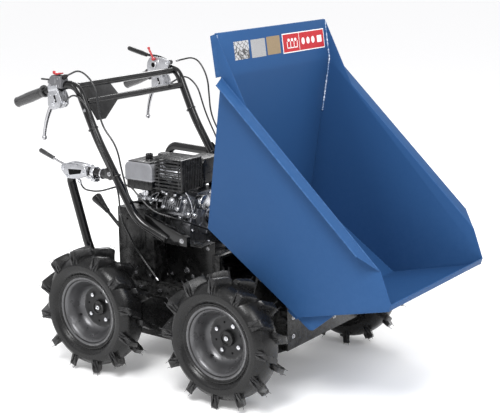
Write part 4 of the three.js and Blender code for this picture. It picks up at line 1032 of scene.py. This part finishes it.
def build_gear_lever():
    y = -130
    arm = sweep(rounded([(-34, y, 385), (-60, y, 405), (-142, y, 474)], 10, 6), 6, 20, squash=0.85)
    knob = along_path((-134, y, 467.3), (-191, y, 514.8),
                      [(0, 6.6), (0.04, 8.6), (0.2, 9.4), (0.45, 12.2), (0.68, 15.4), (0.84, 17.8), (0.93, 18.2), (0.98, 16.8), (1, 12)], 36)
    piece("gear_stick", "black_plastic", [arm, knob, rod((-34, y - 7.5, 385), (-34, y + 7.5, 385), 8.5, 28)], "gear", "gear_lever")
    piece("gear_bolt", "steel", [hex_bolt((-35, y - 12.2, 385), (0, -1, 0), 4.6, 3), hex_bolt((-35, y + 12.2, 385), (0, 1, 0), 4.6, 3)])


# ---- cables ----
def build_cables():
    def cable(name, points, radius=3.0, bend=60):
        path = rounded(points, bend, 10)
        piece(name + "_sheath", "cable_sheath", [sweep(path, radius, 14)], "root", name)
        ends = []
        for a, b in ((path[0], path[3]), (path[-1], path[-4])):
            d = (b - a).normalized()
            ends.append(lathe([(0, 0), (3.4, 0), (3.9, 0.4), (3.9, 12), (3.5, 13), (0, 13)], a, d, 20))
        piece(name + "_ferrules", "steel", ends)
    cable("cable_throttle", [(-181, -262, 942), (-93, -276, 975), (-30, -276, 930), (-10, -276, 800), (54, -276, 738),
                             (74, -276, 650), (106, -278, 560), (70, -200, 545), (40, -175, 532), (40, -134.6, 532)],
          bend=40)
    for side, s in (("right", -1), ("left", 1)):
        cable(f"cable_steering_{side}", [(-185, s * 268, 858), (-120, s * 280, 895), (-64, s * 280, 860), (-30, s * 283, 760),
                                         (60, s * 283, 600), (66, s * 283, 505), (60, s * 240, 440), (60, s * 206, 380),
                                         (150, s * 206, 290)], bend=40)
    cable("cable_drive", [(-148, 266, 944), (-60, 272, 965), (-10, 272, 900), (0, 274, 760), (84, 276, 620), (94, 276, 520),
                          (86, 240, 450), (86, 206, 380), (180, 206, 290)], bend=40)
    cable("cable_release", [(-134, -262, 602), (-104, -272, 576), (-44, -266, 574), (0, -230, 590), (52, -222, 604),
                            (100, -222, 560), (150, -216, 522), (215, -190, 505), (262, -120, 470), (294, -60, 436),
                            (294, -15.4, 436)], bend=40)
    ties = []
    for side in (-1, 1):
        for x, z in ((-72, 778), (20, 629)):
            axis = Vector((-0.54, 0, 0.84))
            ties.append(lathe([(15.2, -2), (17.4, -2), (17.8, -1), (17.8, 1), (17.4, 2), (15.2, 2)],
                              (x + 1, side * 250, z), axis, 28, closed=True))
    piece("cable_ties", "black_plastic", ties)


# ---- engine ----
TILT = math.radians(25)


def on_cylinder(distance, across, x):
    """Point by its distance from the crankshaft along the cylinder, and across it."""
    return Vector((x, -math.cos(TILT) * distance + math.sin(TILT) * across,
                   478 + math.sin(TILT) * distance + math.cos(TILT) * across))


def build_engine():
    crisp("crankcase", "engine_cast", 3.0, 3)
    bore = Vector((0, -math.cos(TILT), math.sin(TILT)))
    fins = []
    for k in range(6):
        d = 82 + k * 7.4
        corners = [on_cylinder(d, -36.4, 0), on_cylinder(d, 36.4, 0), on_cylinder(d + 2.6, 36.4, 0), on_cylinder(d + 2.6, -36.4, 0)]
        fins.append(plate([(c.y, c.z) for c in corners], 105.4, 194.6, "yz", 0.9))
    core = [on_cylinder(80.5, -27, 0), on_cylinder(80.5, 27, 0), on_cylinder(123.6, 27, 0), on_cylinder(123.6, -27, 0)]
    fins.append(plate([(c.y, c.z) for c in core], 114, 186, "yz", 3))
    for x in (112, 188):
        for a in (-29, 29):
            fins.append(rod(on_cylinder(81, a, x), on_cylinder(123, a, x), 5.2, 18, 0.6))
    piece("cylinder_fins", "cast_silver", fins, "root", "cylinder")
    head_bolts = []
    for x in (120, 180):
        for a in (-20, 20):
            head_bolts.append(hex_bolt(on_cylinder(141.6, a, x), bore, 4.8, 3))
    for x in (60, 190):
        for y in (-86, 72):
            head_bolts.append(hex_bolt((x, y, 545.4 if y > 0 else 480), (0, 0, 1) if y > 0 else (0, -1, 0), 4.6, 3))
    ribs = [plate([(c.y, c.z) for c in (on_cylinder(122, -30, 0), on_cylinder(142.4, -25, 0), on_cylinder(142.4, 25, 0),
                                        on_cylinder(122, 30, 0))], 112 + k * 9.2, 115.4 + k * 9.2, "yz", 1.0)
            for k in range(9)]
    face = [on_cylinder(124.4, -27, 0), on_cylinder(134, -24, 0), on_cylinder(134, 24, 0), on_cylinder(124.4, 27, 0)]
    ribs.append(plate([(c.y, c.z) for c in face], 112.4, 187.6, "yz", 2))
    ribs.append(rod(on_cylinder(130, 0, 150), on_cylinder(143, 0, 150), 15, 32, 2))
    piece("head_casting", "engine_cast", ribs, "root", "valve_cover")
    domes = []
    for place in ((157, -134, 545), (193, -112, 542), (196, -100, 495), (172, -112, 484), (212, -88, 492)):
        domes.append(lathe([(0, 0), (7, 0), (7, 4), (5.6, 6.6), (3, 8), (0, 8.4)], place, (0.25, -1, 0.2), 28))
        domes.append(lathe([(0, 0), (9.5, 0), (9.5, 1.6), (0, 1.6)], place, (0.25, -1, 0.2), 28))
    piece("head_domes", "polished", domes)
    strut = [sweep(spline([(196, -112, 572), (203, -104, 552), (208, -98, 524), (212, -96, 494)], 8), 5, 16,
                   across=(1, 0, 0), squash=0.6)]
    drum = lathe([(0, 0), (20, 0), (25, 2), (26, 6), (26, 24), (24.5, 27), (20, 28), (0, 28)], (204, -52, 532),
                 (1, 0, 0), 48)
    piece("side_drum", "polished", [drum, *strut])
    bolts_front = []
    for y, z in ((-86, 386), (-86, 440), (-44, 548), (10, 552), (58, 552), (78, 520), (78, 440), (78, 386), (0, 384), (-40, 384)):
        bolts_front.append(hex_bolt((200, y, z), (1, 0, 0), 4.4, 3.2))
        bolts_front.append(hex_bolt((50, y, z), (-1, 0, 0), 4.0, 2.6)) if abs(y) > 70 else None
    piece("engine_bolts", "polished", head_bolts + [b for b in bolts_front if b])
    side_plate = lathe([(0, 0), (66, 0), (66, 3), (63, 5), (44, 6), (40, 9), (0, 9)], (200, 0, 478), (1, 0, 0), 64)
    flange_ribs = [plate([(44 * math.cos(a) - 2, 478 + 44 * math.sin(a) - 2), (62 * math.cos(a) - 2, 478 + 62 * math.sin(a) - 2),
                          (62 * math.cos(a) + 2, 478 + 62 * math.sin(a) + 2), (44 * math.cos(a) + 2, 478 + 44 * math.sin(a) + 2)],
                         203, 208, "yz", 0.5) for a in (0.3, 1.1, 1.9, 2.7, 3.6, 4.4, 5.2, 6.0)]
    piece("side_cover", "cast_silver", [side_plate, *flange_ribs])
    pulley = lathe([(0, 209.5), (20, 209.5), (31, 210.4), (31, 212), (24.4, 215), (24.4, 223), (31, 229), (31, 235.2),
                    (30, 236), (22, 236), (20, 233), (12, 233), (10.6, 235), (0, 235)], (0, 0, 478), (1, 0, 0), 64)
    piece("output_pulley", "polished", [pulley, hex_bolt((234, 0, 478), (1, 0, 0), 6.4, 4)], "pulley", "drive_pulley")
    build_intake()
    build_starter()
    build_tank()
    build_exhaust()
    linkage = []
    for points, r in (([(44, -98, 560), (60, -84, 566), (92, -60, 566), (128, -50, 563)], 1.5),
                      ([(56, -128, 536), (74, -128, 556), (96, -112, 562), (120, -80, 564)], 1.4),
                      ([(58, -134, 526), (80, -140, 534), (92, -122, 560)], 1.3)):
        linkage.append(sweep(spline(points, 6), r, 10))
    for k in range(14):
        linkage.append(lathe([(2.2, -0.8), (3.2, 0), (2.2, 0.8), (1.4, 0)], (98 + k * 1.8, -60 + k * 0.6, 568), (1, 0.3, 0), 12, closed=True))
    bracket = [plate([(60, 561), (140, 561), (146, 566), (140, 572), (66, 574), (58, 568)], -92, -88, "xz", 1.0),
               box((118, -92, 560), (150, -46, 563), 1), lathe([(0, 0), (7, 0), (7, 4), (5, 6), (0, 6)], (136, -70, 563), (0, 0, 1), 24)]
    piece("throttle_linkage", "steel", linkage + bracket)


def build_intake():
    body = [lathe([(0, 0), (13, 0), (15.5, 2), (15.5, 12), (12.6, 14), (12.6, 40), (15.5, 42), (15.5, 52), (13, 54), (0, 54)],
                  (2, -116, 534), (1, 0, 0), 36),
            lathe([(0, 0), (13, 0), (14.4, 3), (14.4, 12), (16.5, 13.4), (16.5, 16), (0, 16)], (27, -117, 519.4), (0, 0, 1), 36),
            rod((52, -112, 532), (104.4, -112, 532), 11.8, 28, 1.4),
            plate([(-128, 518), (-98, 518), (-95, 526), (-95, 540), (-100, 548), (-126, 548), (-131, 540), (-131, 524)], 54, 59, "yz", 1.2),
            rod((30, -114, 545), (30, -114, 566.8), 15.6, 28, 1.0),
            box((6, -134, 526), (22, -128, 542), 1.6),
            rod((14, -136, 534), (14, -98, 534), 3.4, 16, 0.6)]
    piece("carburettor_body", "polished", body, "root", "carburettor")
    bits = [hex_bolt((27, -117, 519.2), (0, 0, -1), 5, 3), hex_bolt((58, -102, 544), (1, 0, 0), 3.6, 2.4), hex_bolt((58, -126, 522), (1, 0, 0), 3.6, 2.4),
            hex_bolt((40, -134, 540), (0, -1, 0), 3.4, 2.6), hex_bolt((8, -134.4, 538), (0, -1, 0), 2.8, 1.8),
            sweep(spline([(14, -137, 534), (20, -139, 546), (34, -139, 556), (46, -137, 562)], 6), 1.6, 10),
            box((10, -138.5, 531), (18, -136, 551), 1)]
    piece("carburettor_screws", "polished", bits)
    hose = [sweep(spline([(27, -104, 524), (34, -70, 520), (44, -30, 540), (60, -6, 572)], 8), 3.6, 14),
            sweep(spline([(88, -50, 566), (100, -100, 558), (96, -132, 540), (104, -150, 520), (118, -156, 500)], 8), 2.6, 12)]
    piece("fuel_hose", "grip_rubber", hose)
    plug = [lathe([(0, 0), (6, 0), (6, 4), (8, 5), (8, 11), (6.4, 12), (6.4, 20), (0, 20)], on_cylinder(126, 30, 100), (-0.75, -0.55, 0.36), 20)]
    piece("spark_plug", "polished", plug)
    cap_at = on_cylinder(126, 30, 100) + Vector((-0.75, -0.55, 0.36)) * 14
    lead = spline([cap_at, cap_at + Vector((-14, -8, 6)), cap_at + Vector((-24, 10, 24)), Vector((66, -60, 560))], 8)
    piece("plug_lead", "black_plastic", [lathe([(0, 0), (9, 0), (9.4, 2), (9, 12), (6, 20), (0, 21)], cap_at, (-0.75, -0.55, 0.36), 24),
                                         sweep(lead, 3.2, 14)])
    case = [box((-28, -148, 567.6), (84, -42, 600), 5, 4), box((-30, -150, 596), (86, -40, 600.2), 1.4)]
    for k in range(5):
        case.append(box((-20 + k * 22, -149.2, 572), (-16 + k * 22, -146, 594), 1.2))
    piece("filter_case", "black_plastic", case, "root", "air_filter_case")
    outline = [(-32, 600.4), (88, 600.4), (88, 646), (82, 655), (74, 660), (-16, 660), (-25, 655), (-31, 645)]
    cover = [plate(outline, -152, -40, edge=4.5, steps=5), box((-33, -153, 600.4), (89, -39, 606), 1.6),
             rod((30, -95, 655), (30, -95, 664), 9, 24)]
    piece("filter_cover", "filter_grey", cover, "root", "air_filter_cover")
    top = [box((-20, -146, 659.2), (78, -46, 662.8), 1.6), lathe([(9.5, 0), (22, 0), (21, 2), (9.5, 2)], (30, -95, 662.4), (0, 0, 1), 36, closed=True)]
    for sign in (-1, 1):
        top.append(box((28 + sign * 60 - 4, -104, 604), (28 + sign * 60 + 4, -88, 624), 1.4))
    piece("filter_trim", "black_plastic", top)
    knob = [(math.cos(a) * (12.8 if i % 2 else 11), math.sin(a) * (12.8 if i % 2 else 11)) for i, a in
            ((i, 2 * math.pi * i / 24) for i in range(24))]
    piece("filter_knob_grip", "black_plastic", [plate([(30 + a, -95 + b) for a, b in knob], 664.4, 682, "xy", 1.2, 3),
                                                lathe([(0, 0), (8, 0), (7, 2), (0, 2.4)], (30, -95, 681.6), (0, 0, 1), 24)],
          "filter_knob", "air_filter_knob")


def build_starter():
    profile = [(0, -12), (40, -12), (43, -10.5), (68, -10.5), (74, -9.5), (84, -4), (91, 4), (95, 14), (95, 47), (96.5, 48), (96.5, 49.6), (0, 49.6)]
    body = lathe(profile, (0, 0, 478), (1, 0, 0), 72)
    parts = [body, box((4, -80, 372.4), (40, 80, 400), 3)]
    for k in range(28):
        a = 2 * math.pi * k / 28
        inner, outer = Vector((0, math.cos(a), math.sin(a))) * 46, Vector((0, math.cos(a + 0.12), math.sin(a + 0.12))) * 70
        parts.append(sweep([Vector((-10.6, 0, 478)) + inner, Vector((-10.6, 0, 478)) + outer], 1.6, 8))
    parts.append(lathe([(30, 0), (38, 0), (37, 1.6), (31, 1.6)], (-12, 0, 478), (-1, 0, 0), 48, closed=True))
    parts.append(lathe([(0, 0), (12, 0), (11, 1.4), (0, 2)], (-12, 0, 478), (-1, 0, 0), 36))
    parts.append(lathe([(7, 0), (10.5, 0), (10.5, 6), (7, 6)], (-12, 50, 538), (-1, 0, 0), 28, closed=True))
    piece("starter_housing", "black_plastic", parts, "root", "recoil_starter")
    bolts = [hex_bolt((-2 + 2 * abs(math.cos(a)), 84 * math.cos(a), 478 + 84 * math.sin(a)), (-1, 0, 0), 3.8, 2.6)
             for a in (0.8, 2.35, 3.9, 5.5)]
    piece("starter_bolts", "steel", bolts)
    grip = spline([(-40, 29, 538), (-41, 38, 538), (-41.5, 50, 538), (-41, 62, 538), (-40, 71, 538)], 6)
    n = len(grip)
    radii = [4.2 + 2.3 * math.sin(math.pi * i / (n - 1)) for i in range(n)]
    piece("recoil_grip", "black_plastic", [sweep(grip, radii, 24, squash=1.0), rod((-37, 50, 538), (-13, 50, 538), 2.2, 16),
                                           rod((-37, 50, 538), (-30, 50, 538), 4.4, 20)], "recoil", "recoil_handle")


def build_tank():
    def section(top):
        return [(-5, 576.4), (105, 576.4), (111.5, 590), (111.5, top - 15), (96, top - 0.4), (8, top - 0.4),
                (-5.5, top - 12)]
    body = [plate(section(648), -49.6, 122, "yz", 9, 6), plate(section(664), 106, 187.6, "yz", 9, 6)]
    seam = plate([(-6.4, 612), (112.4, 612), (112.4, 616), (-6.4, 616)], -51, 189, "yz", 1)
    neck = lathe([(0, 0), (20, 0), (20, 6), (18, 7.6), (0, 7.6)], (-16, 36, 640.6), (0, 0, 1), 40)
    piece("tank_shell", "black_plastic", [*body, seam, neck], "root", "fuel_tank")
    rim = [(math.cos(a) * (24 if i % 2 else 22.4), math.sin(a) * (24 if i % 2 else 22.4))
           for i, a in ((i, 2 * math.pi * i / 40) for i in range(40))]
    piece("tank_cap", "black_plastic", [plate([(-16 + a, 36 + b) for a, b in rim], 648.6, 656, "xy", 1.0, 2),
                                        lathe([(0, 0), (21, 0), (20, 1.6), (14, 2), (0, 2)], (-16, 36, 655.8),
                                              (0, 0, 1), 40),
                                        box((-32, 33, 657), (0, 39, 658.8), 0.7)], "cap", "fuel_cap")
    feet = [box((0, 10, 560), (14, 30, 577), 1.5), box((0, 70, 540), (14, 90, 577), 1.5),
            box((150, 10, 560), (170, 30, 577), 1.5), box((150, 66, 545), (170, 84, 577), 1.5)]
    piece("tank_feet", "iron", feet)


def build_exhaust():
    can = lathe([(0, 0), (30, 0), (36, 3), (38, 8), (38, 50.5), (39.2, 52), (38, 53.5), (38, 96), (36, 101), (30, 104),
                 (0, 104)], (104, -100, 632), (1, 0, 0), 56)
    tail = lathe([(5, 0), (8, 0), (8, 12), (5, 12)], (196, -84, 648), (0.7, 0, 0.7), 24, closed=True)
    piece("muffler_can", "polished", [can, tail], "root", "muffler")
    pipe = [sweep(rounded([(150, -108, 604), (152, -122, 582), (154, -124, 560)], 12, 6), 13, 24),
            plate([(128, -140), (178, -140), (182, -118), (174, -106), (134, -106), (126, -120)], 556, 563, "xy", 1.4)]
    piece("exhaust_pipe", "iron", pipe)
    piece("exhaust_nuts", "polished", [hex_bolt((135, -134, 563), (0, 0, 1), 5.2, 4.6),
                                       hex_bolt((171, -134, 563), (0, 0, 1), 5.2, 4.6)])
    bars = []
    for i in range(9):
        z = 584 + i * 11.6
        bars.append(rounded_bar([(95, -54, z), (95, -150, z), (212, -150, z)], 12))
    shell = [plate([(92, -152), (218, -152), (218, -50), (92, -50)], 682.4, 686, "xy", 1.8, 3)]
    for low, high in ((116, 121), (200, 205), (210, 218)):
        shell.append(box((low, -152, 581), (high, -148.6, 684), 1.0))
    shell.append(box((211.5, -150, 580), (214.5, -50, 685), 0.8))
    for i in range(12):
        y = -147 + i * 8.5
        shell.append(box((213, y, 584), (217.8, y + 3.4, 684), 1.2))
    shell.append(box((92, -53, 580), (218, -50, 686), 1.2))
    shell.append(box((92, -152, 580), (218, -149, 584), 1.2))
    for k in range(10):
        shell.append(box((99 + k * 11.4, -146, 685.4), (102.6 + k * 11.4, -56, 687.6), 0.7))
    piece("muffler_shield", "black_plastic", shell + bars, "root", "muffler_guard")


def rounded_bar(points, bend):
    """Flat slat swept round a corner."""
    section = [(2.6, 1.5), (-2.6, 1.5), (-2.6, -1.5), (2.6, -1.5)]
    return sweep(rounded(points, bend, 6), 1.0, 4, across=(0, 0, 1), section=section)


def build_latch():
    outline = [(-9, -8), (9, -8), (9, 14), (12, 18), (30, 18), (34, 12), (41, 16), (40, 28), (32, 34), (0, 34), (-9, 24)]
    place = Matrix.Translation((296, 0, 440)) @ Matrix.Rotation(math.radians(-30), 4, "Y")
    piece("latch_blade", "steel", [plate(outline, -5, 5, edge=1.2, steps=3), rod((0, -8.6, 0), (0, 8.6, 0), 5, 28)],
          "latch", "latch_hook", local=place)


place_camera()
set_stage()
build_wheels()
build_chassis()
build_tub()
build_engine()
build_handle()
build_latch()
build_cables()
